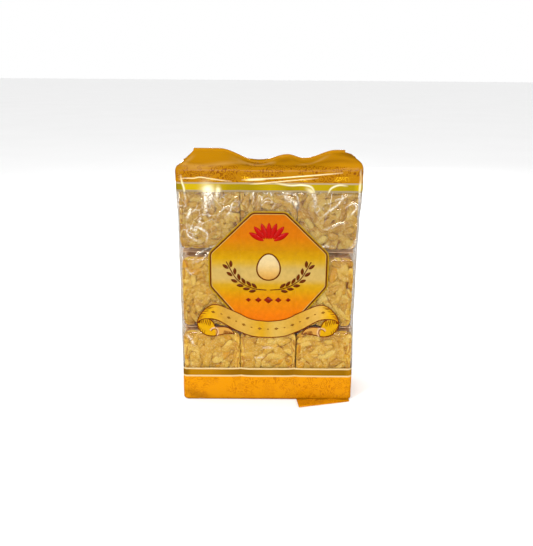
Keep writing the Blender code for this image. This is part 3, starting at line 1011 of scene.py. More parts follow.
# A surface ruled between two curves: one less t of the first plus t of the second
def ruledGrid(first, second, count):
    share = np.linspace(0.0, 1.0, count)[None, :, None]
    return first[:, None] * (1.0 - share) + second[:, None] * share


# Grids and their mirror images, as one set
def mirrored(grids):
    grids = grids.reshape(-1, *grids.shape[-3:])
    return np.concatenate((grids, grids * mirror))


# The way that a path runs at each of its points, as an angle
def headings(path):
    way = np.gradient(path, axis=0)
    return np.arctan2(way[:, 1], way[:, 0])


# A strip beside a path, between two distances to its left
def stripGrid(path, near, far):
    way = np.gradient(path, axis=0)
    way /= np.linalg.norm(way, axis=1, keepdims=True)
    left = asPoints(-way[:, 1], way[:, 0])
    return ruledGrid(path + left * near, path + left * far, 3)


# Leaves at (x, z), each pointing along its angle: half its width times a power of a sine along it. Without a
# power they are lozenges with straight sides.
def leafGrids(places, angles, lengths, widths, power=None, rows=9):
    along = np.linspace(0.02, 0.98, rows)
    half = np.sin(math.pi * along) ** power if power else 1.0 - np.abs(2.0 * along - 1.0)
    angles, lengths, widths = (np.broadcast_to(value, len(places))[:, None, None]
                               for value in (angles, lengths, widths))
    forward = (along[:, None] - 0.5) * lengths
    out = half[:, None] * np.array((-1.0, 0.0, 1.0)) * widths / 2.0
    x = places[:, 0, None, None] + forward * np.cos(angles) - out * np.sin(angles)
    z = places[:, 1, None, None] + forward * np.sin(angles) + out * np.cos(angles)
    return asPoints(x, z)


# The same path with its points at even steps of its length
def evenPath(path, count):
    length = np.concatenate(([0.0], np.cumsum(np.linalg.norm(np.diff(path, axis=0), axis=1))))
    even = np.linspace(0.0, length[-1], count)
    return asPoints(*(np.interp(even, length, side) for side in path.T))


# The panel's outline from the ribbon round its left, top and right, with each corner rounded by an arc
def panelOutline():
    look = labelLook
    left = [(-look["bottomHalf"], look["bottom"]), (-look["sideHalf"], look["sideLow"]),
            (-look["sideHalf"], look["sideHigh"]), (-look["topHalf"], look["top"])]
    corners = np.array(left + [(-x, z) for x, z in reversed(left)])
    pieces = [corners[:1]]
    t = np.linspace(0.0, 1.0, look["cornerPoints"])[:, None]
    for before, here, after in zip(corners, corners[1:], corners[2:]):
        start, end = (here + (other - here) / np.linalg.norm(other - here) * look["cornerRound"]
                      for other in (before, after))
        pieces.append((1 - t) ** 2 * start + 2 * t * (1 - t) * here + t**2 * end)
    pieces.append(corners[-1:])
    return evenPath(np.concatenate(pieces), look["outlinePoints"])


# A glossy printed finish with faint unevenness in the ink: one tone, or tones at millimetres up or across
def inkMaterial(name, strength, tone=None, tones=None, across=False):
    desk = NodeDesk(name, 0.16)
    if tones:
        colour = desk.tints(desk.times(desk.x if across else desk.z, perMetre), tones, strength)
    else:
        colour = swatch(*tone, strength)
    colour = desk.tinted(colour, desk.greys(desk.noise(240.0, 3.0, 0.6), (0.3, 236), (0.7, 255)))
    desk.bump(desk.noise(160.0, 3.0, 0.55, 0.6), 0.0006, 0.12)
    return desk.set(Base_Color=colour, Specular_IOR_Level=0.2)


# The panel with its gold edge and two lines, then its ornaments and the ribbon
def buildLabel():
    look = labelLook
    strength, lift, step = look["strength"], look["lift"], look["step"]
    outline = panelOutline()
    half = len(outline) // 2
    rows, columns = look["panelGrid"]
    heights = np.linspace(look["bottom"], look["top"], rows)
    leftEdge = asPoints(np.interp(heights, outline[:half, 1], outline[:half, 0]), heights)
    panel = inkMaterial("panelInk", strength, tones=look["panel"])
    gold, brown, pale = (inkMaterial(key + "Ink", strength, look[key]) for key in ("gold", "brown", "pale"))
    buildDecal("label_panel", ruledGrid(leftEdge, leftEdge * mirror, columns), lift, panel)
    brownEdge = -look["brownWidth"]
    for name, near, far, ink in (
            ("gold_edge", 0.0, look["goldWidth"], gold),
            ("brown_line", brownEdge, look["overlap"], brown),
            ("pale_line", brownEdge - look["paleWidth"], brownEdge + look["overlap"], pale)):
        buildDecal("label_" + name, stripGrid(outline, near, far), lift + step, ink)
    buildMotifs(lift + step, strength, brown)
    buildRibbon(lift + 2 * step, strength * ribbon["brightness"])


# Plain ornaments on the panel: a red sheaf, two brown ears of wheat round an egg, and a row of lozenges
motifs = {
    "sheafFoot": (0.0, 171.5),
    "sheafFan": (30.0, 150.0, 7),  # the first and last petals' angles in degrees, and how many there are
    "sheafLength": 17.0,
    "sheafWidth": 5.4,
    "leafPower": 0.7,
    "earGrains": 8,
    "bareGrains": 2,
    "earCurve": ((-2.0, 123.5), (-16.0, 125.5), (-31.0, 134.0), (-42.0, 153.0)),
    "grainSize": (7.4, 3.3),
    "grainGap": 3.0,
    "grainSlant": 26.0,
    "stemHalf": 0.5,
    "stemPoints": 27,
    "eggMiddle": (0.0, 147.5),
    "eggHalf": (11.5, 13.5),
    "eggNarrowing": 0.14,
    "eggReach": 0.98,
    "eggGrid": (30, 24),
    "eggLine": 1.4,
    "lozengeHeight": 113.0,
    "lozengeGap": 10.0,
    "lozengeSizes": (5.5, 7.0, 9.5, 7.0, 5.5),
    "lozengeWidth": 0.8,
    "red": (205, 18, 12),
    "darkRed": (150, 34, 6),
    "egg": ((134.0, (226, 160, 60)), (142.0, (238, 190, 104)), (150.0, (246, 214, 150)),
            (161.0, (250, 226, 170))),
}


# An egg, larger by so much all round: cosine across and sine up, narrower towards its top, with blunt tips
def eggGrid(more):
    rows, columns = motifs["eggGrid"]
    reach = motifs["eggReach"]
    climb = np.linspace(-reach, reach, rows) * math.pi / 2.0
    halfWidth, halfHeight = motifs["eggHalf"]
    out = (halfWidth + more) * np.cos(climb) * (1.0 - motifs["eggNarrowing"] * np.sin(climb))
    left = asPoints(-out, (halfHeight + more) * np.sin(climb)) + motifs["eggMiddle"]
    return ruledGrid(left, left * mirror, columns)


# The sheaf fans out from its foot, and each ear has grains on both sides of its curve, slanting outward
def buildMotifs(lift, strength, brown):
    look = motifs
    red, darkRed = (inkMaterial(key + "Ink", strength, look[key]) for key in ("red", "darkRed"))
    eggInk = inkMaterial("eggInk", strength, tones=look["egg"])
    fan = np.radians(np.linspace(*look["sheafFan"]))
    reach = look["sheafLength"] * (0.75 + 0.1 * np.sin(fan * 2.0) ** 2)
    sheafPlaces = look["sheafFoot"] + reach[:, None] * circlePoints(fan)
    sheaf = leafGrids(sheafPlaces, fan, look["sheafLength"], look["sheafWidth"], look["leafPower"])
    curve = smoothCurve(look["earCurve"], 2 * look["earGrains"] + 1)
    first = 2 * look["bareGrains"] + 1
    grainAt, grainWay = curve[first::2], headings(curve)[first::2]
    ears = []
    for side in (-1.0, 1.0):
        middle = grainAt + look["grainGap"] * circlePoints(grainWay + side * quarterTurn)
        slant = grainWay + side * math.radians(look["grainSlant"])
        ears.append(leafGrids(middle, slant, *look["grainSize"], look["leafPower"]))
    stemHalf, eggLine = look["stemHalf"], look["eggLine"] / 2.0
    stem = stripGrid(smoothCurve(look["earCurve"], look["stemPoints"]), -stemHalf, stemHalf)
    sizes = np.array(look["lozengeSizes"])
    spots = (np.arange(len(sizes)) - len(sizes) // 2) * look["lozengeGap"]
    lozenges = leafGrids(asPoints(spots, look["lozengeHeight"]), 0.0, sizes, sizes * look["lozengeWidth"])
    for name, grids, height, ink in (
            ("sheaf", sheaf, lift, red),
            ("wheat", mirrored(np.concatenate(ears)), lift, brown),
            ("wheat_stems", mirrored(stem), lift, brown),
            ("egg", eggGrid(eggLine), lift - labelLook["step"] * 0.5, brown),
            ("egg_shell", eggGrid(-eggLine), lift, eggInk),
            ("lozenges", lozenges, lift, darkRed)):
        buildDecal("label_" + name, grids, height, ink)


# The ribbon under the panel, in millimetres: its edges run from the middle out to the left fold
ribbon = {
    "curves": {
        "upper": ((0.0, 89.6), (-12.6, 91.0), (-22.3, 94.1), (-35.2, 101.0), (-48.1, 106.8), (-55.0, 107.7),
                  (-61.0, 105.3), (-66.0, 100.5), (-70.0, 94.5), (-72.4, 87.5)),
        "lower": ((0.0, 72.1), (-12.5, 72.8), (-22.3, 75.2), (-35.4, 81.1), (-48.3, 89.3), (-55.0, 91.9),
                  (-61.2, 92.4), (-66.0, 91.8), (-69.6, 90.2), (-72.0, 87.0)),
        "curlUpper": ((-72.0, 87.3), (-67.7, 91.3), (-61.2, 92.2), (-56.5, 89.0), (-54.2, 84.0)),
        "curlLower": ((-72.2, 86.7), (-70.6, 80.5), (-65.5, 75.3), (-59.0, 73.2), (-53.5, 73.4)),
        "tailUpper": ((-54.0, 82.6), (-47.1, 83.2), (-41.9, 82.4), (-37.3, 79.9), (-34.3, 75.6)),
        "tailLower": ((-54.0, 73.4), (-48.5, 74.6), (-43.3, 75.7), (-38.7, 76.0), (-34.6, 75.4)),
    },
    "curvePoints": 61,
    "columns": (21, 9, 9),  # of the face, the curls and the tails
    "hook": ((-53.0, 73.6), (-51.6, 77.0), (-52.6, 80.6), (-56.0, 80.8), (-58.4, 78.6)),
    "hookPoints": 24,
    "hookWidth": 1.8,
    "hookLine": 0.8,
    "lineWidth": 0.9,
    "foldShift": (8.0, 1.2),  # from the upper edge to the strokes' far ends at the fold
    "strokes": (  # between two curves: shares along them from, to and how many, reaches from and to, width
        ("curlUpper", "curlLower", (0.14, 0.66, 8), (0.42, 0.42), 0.80),
        ("upper", "fold", (0.70, 0.93, 6), (1.0, 0.45), 0.75),
        ("curlLower", "curlUpper", (0.12, 0.5, 6), (0.26, 0.26), 0.65),
        ("tailLower", "tailUpper", (0.40, 0.9, 8), (0.55, 0.55), 0.75)),
    "beads": 15,
    "beadEnds": 26,  # how many of the middle line's points lie beyond the beads at each end
    "beadLengths": (4.6, 2.6),
    "beadWidth": 0.62,
    "brightness": 1.12,
    "face": (  # by the distance from the middle
        (-73.0, (216, 142, 4)), (-60.0, (236, 178, 8)), (-44.0, (212, 160, 60)), (-24.0, (222, 174, 74)),
        (-6.0, (222, 166, 24)), (8.0, (226, 184, 84)), (30.0, (216, 162, 50)), (50.0, (228, 180, 84)),
        (62.0, (238, 180, 10)), (73.0, (210, 136, 4))),
    "curl": (232, 172, 6),
    "tail": (224, 164, 72),
    "ribbonLine": (124, 44, 2),
    "roll": (236, 186, 128),
    "bead": (146, 92, 22),
}


# The same strip with more or fewer steps along it
def resample(grid, count):
    place = np.linspace(0.0, len(grid) - 1.0, count)
    low = np.minimum(place.astype(int), len(grid) - 2)
    share = (place - low)[:, None, None]
    return grid[low] * (1.0 - share) + grid[low + 1] * share


# Short tapering strips from one curve part of the way to another, at shares along them
def hatchGrids(first, second, shares, reach, width):
    index = (shares * (len(first) - 1)).astype(int)
    start = first[index]
    end = start + (second[index] - start) * reach[:, None]
    angle = np.arctan2(end[:, 1] - start[:, 1], end[:, 0] - start[:, 0])
    length = np.linalg.norm(end - start, axis=1)
    return leafGrids((start + end) / 2.0, angle, length, width, 0.6, 7)


# The ribbon's face, curls and tails with their lines and strokes, a rolled end in each curl, and the beads
def buildRibbon(lift, strength):
    look = ribbon
    step, line = labelLook["step"], look["lineWidth"]
    count = look["curvePoints"]
    curves = {key: smoothCurve(points, count) for key, points in look["curves"].items()}
    curves["fold"] = curves["upper"] + look["foldShift"]
    face = inkMaterial("ribbonInk", strength, tones=look["face"], across=True)
    curl, tail, brown, pale, dark = (inkMaterial(key + "Ink", strength, look[key])
                                     for key in ("curl", "tail", "ribbonLine", "roll", "bead"))
    upper, lower = (np.concatenate((curves[key][::-1], curves[key][1:] * mirror))
                    for key in ("upper", "lower"))
    faceColumns, curlColumns, tailColumns = look["columns"]
    hook = smoothCurve(look["hook"], look["hookPoints"])
    lines = [mirrored(stripGrid(curves[key], -line / 2, line / 2))
             for key in ("curlUpper", "curlLower", "tailUpper", "tailLower")]
    lines.append(mirrored(resample(stripGrid(hook, 0.0, line * look["hookLine"]), count)))
    strokes = [mirrored(hatchGrids(curves[first], curves[second], np.linspace(*shares),
                                   np.linspace(*reaches, shares[-1]), width))
               for first, second, shares, reaches, width in look["strokes"]]
    ends = look["beadEnds"]
    spots = evenPath(((upper + lower) / 2.0)[ends:-ends], look["beads"])
    sizes = np.where(np.arange(look["beads"]) % 2 == 0, *look["beadLengths"])
    for name, grids, height, ink in (
            ("tails", mirrored(ruledGrid(curves["tailLower"], curves["tailUpper"], tailColumns)),
             lift - step * 0.4, tail),
            ("curls", mirrored(ruledGrid(curves["curlLower"], curves["curlUpper"], curlColumns)), lift, curl),
            ("face", ruledGrid(lower, upper, faceColumns), lift + step * 0.5, face),
            ("edges", np.stack([stripGrid(edge, -line / 2, line / 2) for edge in (upper, lower)]),
             lift + step, brown),
            ("lines", np.concatenate(lines), lift + step, brown),
            ("pleats", np.concatenate(strokes), lift + step, brown),
            ("rolls", mirrored(stripGrid(hook, -look["hookWidth"], 0.0)), lift + step, pale),
            ("beads", leafGrids(spots, headings(spots), sizes, sizes * look["beadWidth"]),
             lift + step, dark)):
        buildDecal("ribbon_" + name, grids, height, ink)


# The blocks' places, sizes and strips, in metres
block = {
    "half": (0.0283, 0.01315, 0.03775),
    "columnsAt": ((-0.0578, 0.0001, 0.0581), (-0.0578, -0.0008, 0.0563), (-0.0575, -0.0003, 0.0567)),
    "widthShares": ((1.034, 1.022, 1.017), (1.008, 1.006, 1.012), (1.046, 0.983, 1.040)),
    "rowsAt": (0.0408, 0.1204, 0.2030),
    "heightShares": (1.0, 0.975, 1.0),
    "layersAt": (-0.0133, 0.0133),
    "outlineRadius": 0.0092,
    "edgeRadius": 0.0012,
    "pressDepth": 0.0007,
    "stripLength": (0.0125, 0.0225),
    "stripWidth": (0.0054, 0.0080),
    "stripThickness": (0.0046, 0.0062),
    "stripGap": 0.003,  # from a strip's middle to the edge of its face
    "stripTilt": 0.20,
    "stripBend": 0.0014,
    "stripArch": (0.0002, 0.0016),
    "stripTwist": 0.35,
    "stripTip": 0.985,
    "stripEven": 0.93,  # nearer 1 sets the rings closer together at the ends
    "stripRoundness": 0.82,
    "stripLumps": ((2, 3.1, 0.05), (1, 5.3, 0.05), (3, -4.0, 0.04)),  # waves round, waves along, size
    "yellowShare": 0.05,  # of the strips are deep yellow
    "sizeShares": (1.20, 1.06, 0.98),
    "stripDepth": ((0.0012, 0.0030), (0.0019, 0.0046), (0.0016, 0.0036)),  # of the sides, faces and ends
    "shownFaces": (100, 112, 118),
    "shownSide": 54,
    "hiddenFace": 16,
    "hiddenSide": 40,
    "hiddenEnd": 26,
    "sides": 10,
    "rings": 8,
    "coreInset": 0.0026,
    "coreInsetShares": (1.0, 0.55, 1.0),
    "coreShift": 0.45,
    "corePower": 0.22,
    "coreTip": 0.05,
    "coreGrid": (15, 28),
    "seed": 40,
}


# Pulls points softly inside a box with rounded edges: beyond the radius the distance creeps up to it
def pressInto(points, half, radius, depth):
    inner = np.array(half) - radius
    over = np.maximum(np.abs(points) - inner, 0.0)
    distance = np.linalg.norm(over, axis=-1, keepdims=True)
    start = radius - depth
    beyond = np.maximum(distance - start, 0.0)
    held = np.where(distance > start, start + depth * (1.0 - np.exp(-beyond / depth)), distance)
    scale = held / np.maximum(distance, 1e-9)
    return np.sign(points) * (np.minimum(np.abs(points), inner) + over * scale)


# A block's form: its outline from the front has round corners, and all its edges are a little round
def pressIntoBlock(points):
    half = np.array(block["half"])
    flat = pressInto(points[..., (0, 2)], half[[0, 2]], block["outlineRadius"], block["pressDepth"])
    points = asPoints(flat[..., 0], points[..., 1], flat[..., 1])
    return pressInto(points, half, block["edgeRadius"], block["pressDepth"])


# Evenly scattered pairs of numbers from 0 to 1: steps by the powers of the plastic number
def evenScatter(count, random):
    steps = np.array((0.7548776662, 0.5698402910))
    return (random.uniform(size=2) + np.arange(count)[:, None] * steps) % 1.0


# All strips of a block at once: tubes on short bent paths, superellipses across, blunt at both ends, lumpy.
# The result is strips by rings by sides by 3, with a tone for each strip and a rim for each point.
def doughStrips(shown, random, sizeShare):
    half = np.array(block["half"])
    gap, tip, even = block["stripGap"], block["stripTip"], block["stripEven"]
    centres, outs, alongs = [], [], []
    for axis in range(3):
        for side in (-1, 1):
            count = shown[axis, side]
            first, second = [k for k in range(3) if k != axis]
            spread = evenScatter(count, random) * 2.0 - 1.0
            centre, along, out = np.zeros((3, count, 3))
            centre[:, first] = spread[:, 0] * (half[first] - gap)
            centre[:, second] = spread[:, 1] * (half[second] - gap)
            centre[:, axis] = side * (half[axis] - random.uniform(*block["stripDepth"][axis], count))
            turn = random.uniform(0.0, math.pi, count)
            along[:, first], along[:, second] = np.cos(turn), np.sin(turn)
            along[:, axis] = random.normal(0.0, block["stripTilt"], count)
            out[:, axis] = side
            centres.append(centre)
            outs.append(out)
            alongs.append(along / np.linalg.norm(along, axis=1, keepdims=True))
    centre, out, along = (np.concatenate(parts)[:, None, None] for parts in (centres, outs, alongs))
    count = len(centre)
    across = np.cross(out, along)
    across /= np.linalg.norm(across, axis=-1, keepdims=True)
    up = np.cross(along, across)
    length, width, thickness = (random.uniform(*block[key], count)[:, None, None]
                                for key in ("stripLength", "stripWidth", "stripThickness"))
    length, width = length * sizeShare, width * sizeShare
    bend = random.normal(0.0, block["stripBend"], count)[:, None, None]
    arch = random.uniform(*block["stripArch"], count)[:, None, None]
    twist = random.normal(0.0, block["stripTwist"], count)[:, None, None]
    v = np.linspace(-tip, tip, block["rings"])[None, :, None]
    v = np.sin(v * quarterTurn * even) / math.sin(tip * quarterTurn * even) * tip
    turn = wholeTurns(block["sides"]) + twist * v
    swell = (1.0 - np.abs(v) ** 3.0) ** 0.42
    phase = random.uniform(0.0, wholeTurn, (3, count))[:, :, None, None]
    lumps = 1.0
    for (wavesRound, wavesAlong, size), start in zip(block["stripLumps"], phase):
        lumps = lumps + size * np.cos(turn * wavesRound + v * wavesAlong + start)
    side = bowed(np.cos(turn), block["stripRoundness"]) * swell * lumps * width / 2.0
    rise = bowed(np.sin(turn), block["stripRoundness"]) * swell * lumps * thickness / 2.0
    side = side + bend * (v**2 - 0.33)
    rise = rise - arch * v**2
    points = centre + along * (v * length / 2.0)[..., None] + across * side[..., None] + up * rise[..., None]
    tone = np.clip(random.normal(0.5, 0.22, count), 0.0, 1.0)
    tone = np.where(random.uniform(size=count) < block["yellowShare"], 2.0, tone)
    # 1 on a strip's flanks and blunt ends, where it meets its neighbours, and 0 on its crown
    rim = np.maximum(np.abs(np.cos(turn)) ** 5.0, np.abs(v) ** 24.0)
    return points, tone, rim


# The dark syrupy middle of a block: a superellipsoid, boxy by its low power
def blockCore(half):
    rows, columns = block["coreGrid"]
    power, highest = block["corePower"], quarterTurn - block["coreTip"]
    up, turn = np.linspace(-highest, highest, rows)[:, None], wholeTurns(columns)[None]
    x = half[0] * bowed(np.cos(up), power) * bowed(np.cos(turn), power)
    y = half[1] * bowed(np.cos(up), power) * bowed(np.sin(turn), power)
    return asPoints(x, y, half[2] * bowed(np.sin(up), power))


# One block: its strips and its core, each strip in its own cell of the texture map and the core in the last
def buildBlock(name, place, shares, sizeShare, shown, material, seed):
    strips, tone, rim = doughStrips(shown, np.random.default_rng(seed), sizeShare)
    strips = pressIntoBlock(strips)
    centre, half, inset = np.array(place), np.array(block["half"]), block["coreInset"]
    # The core lies deep under the open face and close under the face that meets the other layer
    core = blockCore(half - inset * np.array(block["coreInsetShares"]))
    core[..., 1] -= np.sign(centre[1]) * block["coreShift"] * inset
    count, rings, sides = strips.shape[:3]
    size = rings * sides
    cells = math.ceil(math.sqrt(count + 4))
    quads, ends, places, endPlaces = tubeFaces(rings, sides, 0.06, (0.88, 0.70), 0.07, 0.88)
    quads, places = repeatFaces(quads, places, count, size, cells)
    ends, endPlaces = repeatFaces(ends, endPlaces, count, size, cells)
    coreQuads, coreEnds, *corePlaces = tubeFaces(*core.shape[:2], 0.0, 0.8, 0.06, 0.9)
    corePlaces, coreEndPlaces = ((part + cells - 1) / cells for part in corePlaces)
    first, coreSize = count * size, core[..., 0].size
    points = np.concatenate((strips.reshape(-1, 3), core.reshape(-1, 3))) * shares + centre
    tones = np.concatenate((np.repeat(tone, size), np.full(coreSize, -1.0)))
    rims = np.concatenate((rim.ravel(), np.zeros(coreSize)))
    # How deep each point lies under the block's open faces: its front or rear, and the bag's side beside it
    within = half * shares - np.abs(points - centre)
    outward = np.sign(points - centre) == np.sign(centre)
    deep = np.where(outward[:, 1], within[:, 1], half[1])
    beside = (abs(centre[0]) > half[0]) & outward[:, 0]
    deep = np.where(beside, np.minimum(deep, within[:, 0]), deep)
    makePiece(name, points, [quads, coreQuads + first, ends, coreEnds + first],
              [places, corePlaces, endPlaces, coreEndPlaces], material,
              {"tone": tones, "deep": deep, "rim": rims})


# The dough's swatches and the strength that they share, but for the gap's, which has its own
doughLook = {
    "roughness": 0.34,
    "strength": 0.735,
    "tones": ((0.0, (186, 122, 10)), (0.35, (213, 154, 28)), (0.62, (231, 178, 50)), (0.95, (245, 206, 94))),
    "browned": (172, 106, 20),
    "blister": (250, 226, 138),
    "syrup": (228, 164, 14),
    "rim": (174, 102, 3),
    "coreDark": (150, 92, 18),
    "corePale": (196, 138, 44),
    "gap": (214, 134, 8, 0.62),
    "gapDepths": (0.0016, 0.0040),
    "heights": ((84.0, 255), (88.0, 244), (160.0, 244), (167.0, 222)),  # painted shade: the head is darker
}


# Fried dough: pale gold strips of uneven tone, browned in spots, in a dark amber syrup
def doughMaterial():
    look = doughLook
    desk = NodeDesk("sachimaDough", look["roughness"])
    tone, strength = desk.attribute("tone"), look["strength"]
    mottle = desk.noise(170.0, 4.0, 0.6)
    colour = desk.tints(desk.plus(desk.times(tone, 0.7), desk.times(mottle, 0.5)), look["tones"], strength)
    browned = desk.rise(desk.noise(95.0, 5.0, 0.65, 0.8), 0.58, 0.70)
    colour = desk.mix(desk.times(browned, 0.6), colour, swatch(*look["browned"], strength))
    # Thin pale crests where the dough has blistered
    blisters = desk.rise(desk.noise(430.0, 3.0, 0.6, 0.6), 0.54, 0.66)
    colour = desk.mix(desk.times(blisters, 0.55), colour, swatch(*look["blister"], strength * 1.1))
    syrup = desk.rise(desk.noise(120.0, 2.0, 0.5, 0.4), 0.66, 0.70)
    yellow = desk.sum("MAXIMUM", desk.sum("GREATER_THAN", tone, 1.5), syrup)
    colour = desk.mix(yellow, colour, swatch(*look["syrup"], strength))
    # Syrup and painted shade: darker on the strips' flanks and ends, where they meet
    rim = desk.greys(desk.attribute("rim"), (0.40, 0), (1.0, 240))
    colour = desk.mix(rim, colour, swatch(*look["rim"], strength))
    # The core's dark amber is syrup, and painted shade deep between the strips
    core = desk.mix(mottle, swatch(*look["coreDark"], strength), swatch(*look["corePale"], strength))
    colour = desk.mix(desk.sum("LESS_THAN", tone, -0.5), colour, core)
    # Painted shade and painted light through syrup: deep in the gaps the dough is a darker, richer amber
    gap = desk.rise(desk.attribute("deep"), *look["gapDepths"])
    colour = desk.mix(gap, colour, swatch(*look["gap"]))
    # Painted shade: the blocks are darker towards the pack's head
    colour = desk.tinted(colour, desk.greys(desk.times(desk.z, perMetre), *look["heights"]))
    desk.bump(desk.plus(desk.noise(420.0, 4.0, 0.6), desk.times(desk.noise(1300.0), 0.3)), 0.0014, 0.7)
    return desk.set(Base_Color=colour, Specular_IOR_Level=0.4)


# Shares by which a block is wider and taller than the plain one
def blockShares(row, column):
    return np.array((block["widthShares"][row][column], 1.0, block["heightShares"][row]))


# The blocks of both layers: many strips on a face that shows and few on a face that doesn't
def buildBlocks(material):
    total = 0
    hidden, side = block["hiddenFace"], block["shownSide"]
    for layer, y in enumerate(block["layersAt"]):
        for row, z in enumerate(block["rowsAt"]):
            for column, x in enumerate(block["columnsAt"][row]):
                face = block["shownFaces"][row]
                shown = {
                    (0, -1): side if column == 0 else block["hiddenSide"],
                    (0, 1): side if column == 2 else block["hiddenSide"],
                    (1, -1): face if layer == 0 else hidden,
                    (1, 1): face if layer == 1 else hidden,
                    (2, -1): block["hiddenEnd"],
                    (2, 1): block["hiddenEnd"],
                }
                name = f"sachima_{('front', 'rear')[layer]}_{row + 1}_{column + 1}"
                buildBlock(name, (x, y, z), blockShares(row, column), block["sizeShares"][row], shown,
                           material, block["seed"] + total)
                total += 1
    print("sachima blocks:", total)


# The inner wrappers' sizes in metres, and their relief
wrapper = {
    "slack": (0.0002, 0.0003, 0.0005),
    "shoulder": 0.0040,
    "endReach": 0.0012,
    "endLifts": ((0.0004, 0.0010), (0.0010, 0.0026), (0.0026, 0.0004)),  # of the lower and upper fins
    "endDepth": 0.012,
    "endNarrowing": 0.07,
    "boxiness": 0.28,
    "finLength": 0.0090,
    "finThickness": 0.00012,
    "around": 96,
    "bodyRows": 34,
    "shoulderRows": 9,
    "finRows": 7,
    "pleat": 0.0005,
    "pleatSpacing": 0.0052,
    "pleatLength": 0.006,
    "crinkle": 0.00022,
    "crinkleLength": 0.014,
    "fineLength": 0.0055,
    "sway": 0.0003,
    "swayLength": 0.012,
    "gathered": (0.91, 0.98),  # shares of the half width between which a wall becomes gathered
    "seed": 11,
    "roughness": 0.10,
    "clearShare": 0.07,
    "mostShare": 0.22,
    "paintedCrimpShade": (216, 180, 142),
}


# One wrapper: a boxy tube round the block whose ends draw in to a flat fin, which bends forward in the gap.
# The rows of its upper half have a height, a share of the depth, a way along the fin and a share of
# crimping, and the lower half mirrors them.
def wrapperPoints(place, shares, lifts, seed):
    look = wrapper
    half = np.array(block["half"]) * shares + look["slack"]
    body = half[2] - look["shoulder"]
    top = half[2] + look["endReach"]
    bodyZ = np.linspace(0.0, body, look["bodyRows"] // 2 + 1)
    swing = np.linspace(0.0, 1.0, look["shoulderRows"] + 1)[1:]
    shoulderZ = body + (top - body) * np.sin(swing * quarterTurn)
    shoulderDepth = np.maximum(np.cos(swing * quarterTurn) ** 0.8, look["endDepth"])
    fin = np.linspace(0.0, 1.0, look["finRows"] + 1)[1:]
    z = np.concatenate((bodyZ, shoulderZ, np.full(len(fin), top)))
    depth = np.concatenate((np.ones(len(bodyZ)), shoulderDepth, np.full(len(fin), look["endDepth"])))
    forward = np.concatenate((np.zeros(len(bodyZ) + len(shoulderZ)), fin * look["finLength"]))
    crimp = np.concatenate((np.zeros(len(bodyZ)), swing**2 * 0.7, np.ones(len(fin))))
    z = np.concatenate((-z[:0:-1], z))[:, None]
    depth, forward, crimp = (np.concatenate((part[:0:-1], part))[:, None] for part in (depth, forward, crimp))
    turn = wholeTurns(look["around"])[None]
    onFin = forward > 0.0
    x = half[0] * bowed(np.cos(turn), look["boxiness"]) * (1.0 - look["endNarrowing"] * crimp)
    section = bowed(np.sin(turn), look["boxiness"])
    y = np.where(onFin, -forward, half[1] * section * depth)
    lift = np.sin(np.clip(forward / look["finLength"], 0, 1) * quarterTurn)
    lift = lift * np.where(z > 0.0, lifts[1], -lifts[0])
    height = z + lift + np.where(onFin, section * look["finThickness"] * np.sign(z), 0.0)
    points = asPoints(x, y, height)
    normals = gridNormals(points)
    pleats = np.cos(x / look["pleatSpacing"] * wholeTurn + seed) * 0.6
    pleats = pleats + softWaves(points + seed, look["pleatLength"], seed) * 0.6
    crinkle = creaseWaves(points + seed * 0.1, look["crinkleLength"], seed + 50, 3.0) - 0.3
    crinkle = crinkle + 0.35 * creaseWaves(points + seed * 0.1, look["fineLength"], seed + 70, 2.0)
    relief = look["pleat"] * pleats * crimp * ~onFin + look["crinkle"] * crinkle * (1.0 - crimp)
    points = points + normals * relief[..., None]
    sway = softWaves(asPoints(x, 0.0) + seed, look["swayLength"], seed + 9) * look["sway"]
    points[..., 2] += np.where(onFin, sway, 0.0)
    return points + np.array(place), crimp * np.ones_like(x)


# The wrappers of each layer's nine blocks, as one piece
def buildWrappers(material):
    for layer, y in enumerate(block["layersAt"]):
        sets, crimps = [], []
        for row, z in enumerate(block["rowsAt"]):
            for column, x in enumerate(block["columnsAt"][row]):
                seed = wrapper["seed"] + row * 3 + column + layer * 9
                shares = blockShares(row, column)
                points, crimp = wrapperPoints((x, y, z), shares, wrapper["endLifts"][row], seed)
                # The walls that face another column are gathered and pale, but for one tight gap
                acrossBag = points[..., 0]
                wall = ease(np.abs(acrossBag - x) / (block["half"][0] * shares[0]), *wrapper["gathered"])
                wall = wall * (np.abs(acrossBag) < 0.05) * (1.0 - 0.9 * ((row == 0) & (acrossBag > 0.0)))
                sets.append(points)
                crimps.append(np.maximum(crimp, 0.35 * wall))
        count, (rows, columns) = len(sets), sets[0].shape[:2]
        faces, ends, places, endPlaces = tubeFaces(rows, columns, 0.02, (0.96, 0.86), 0.03, 0.94)
        faces, places = repeatFaces(faces, places, count, rows * columns, 3)
        ends, endPlaces = repeatFaces(ends, endPlaces, count, rows * columns, 3)
        makePiece(("inner_wrappers_front", "inner_wrappers_rear")[layer], np.stack(sets), [faces, ends],
                  [places, endPlaces], material, {"crimp": np.stack(crimps)})
    print("inner wrappers made")


# Thin clear wrapper: faint over the blocks, milky where gathered and crimped, with mauve painted shade there
def wrapperMaterial():
    desk = NodeDesk("clearWrapper", wrapper["roughness"])
    crimp = desk.attribute("crimp")
    streaks = desk.noise(260.0, 3.0, 0.6, 0.5)
    milk = desk.times(crimp, desk.sum("MULTIPLY_ADD", streaks, 0.9, 0.30))
    mirrorLight = desk.mirrorShare(wrapper["clearShare"], wrapper["mostShare"])
    alpha, metallic = desk.clearFilm(mirrorLight, desk.plus(milk, 0.012))
    # The crimped film's mauve is painted shade
    colour = desk.mix(desk.rise(crimp, 0.0, 0.25), white, swatch(*wrapper["paintedCrimpShade"]))
    desk.bump(desk.plus(streaks, desk.noise(90.0)), 0.0006, 0.5)
    return desk.set(Base_Color=colour, Alpha=alpha, Metallic=metallic)


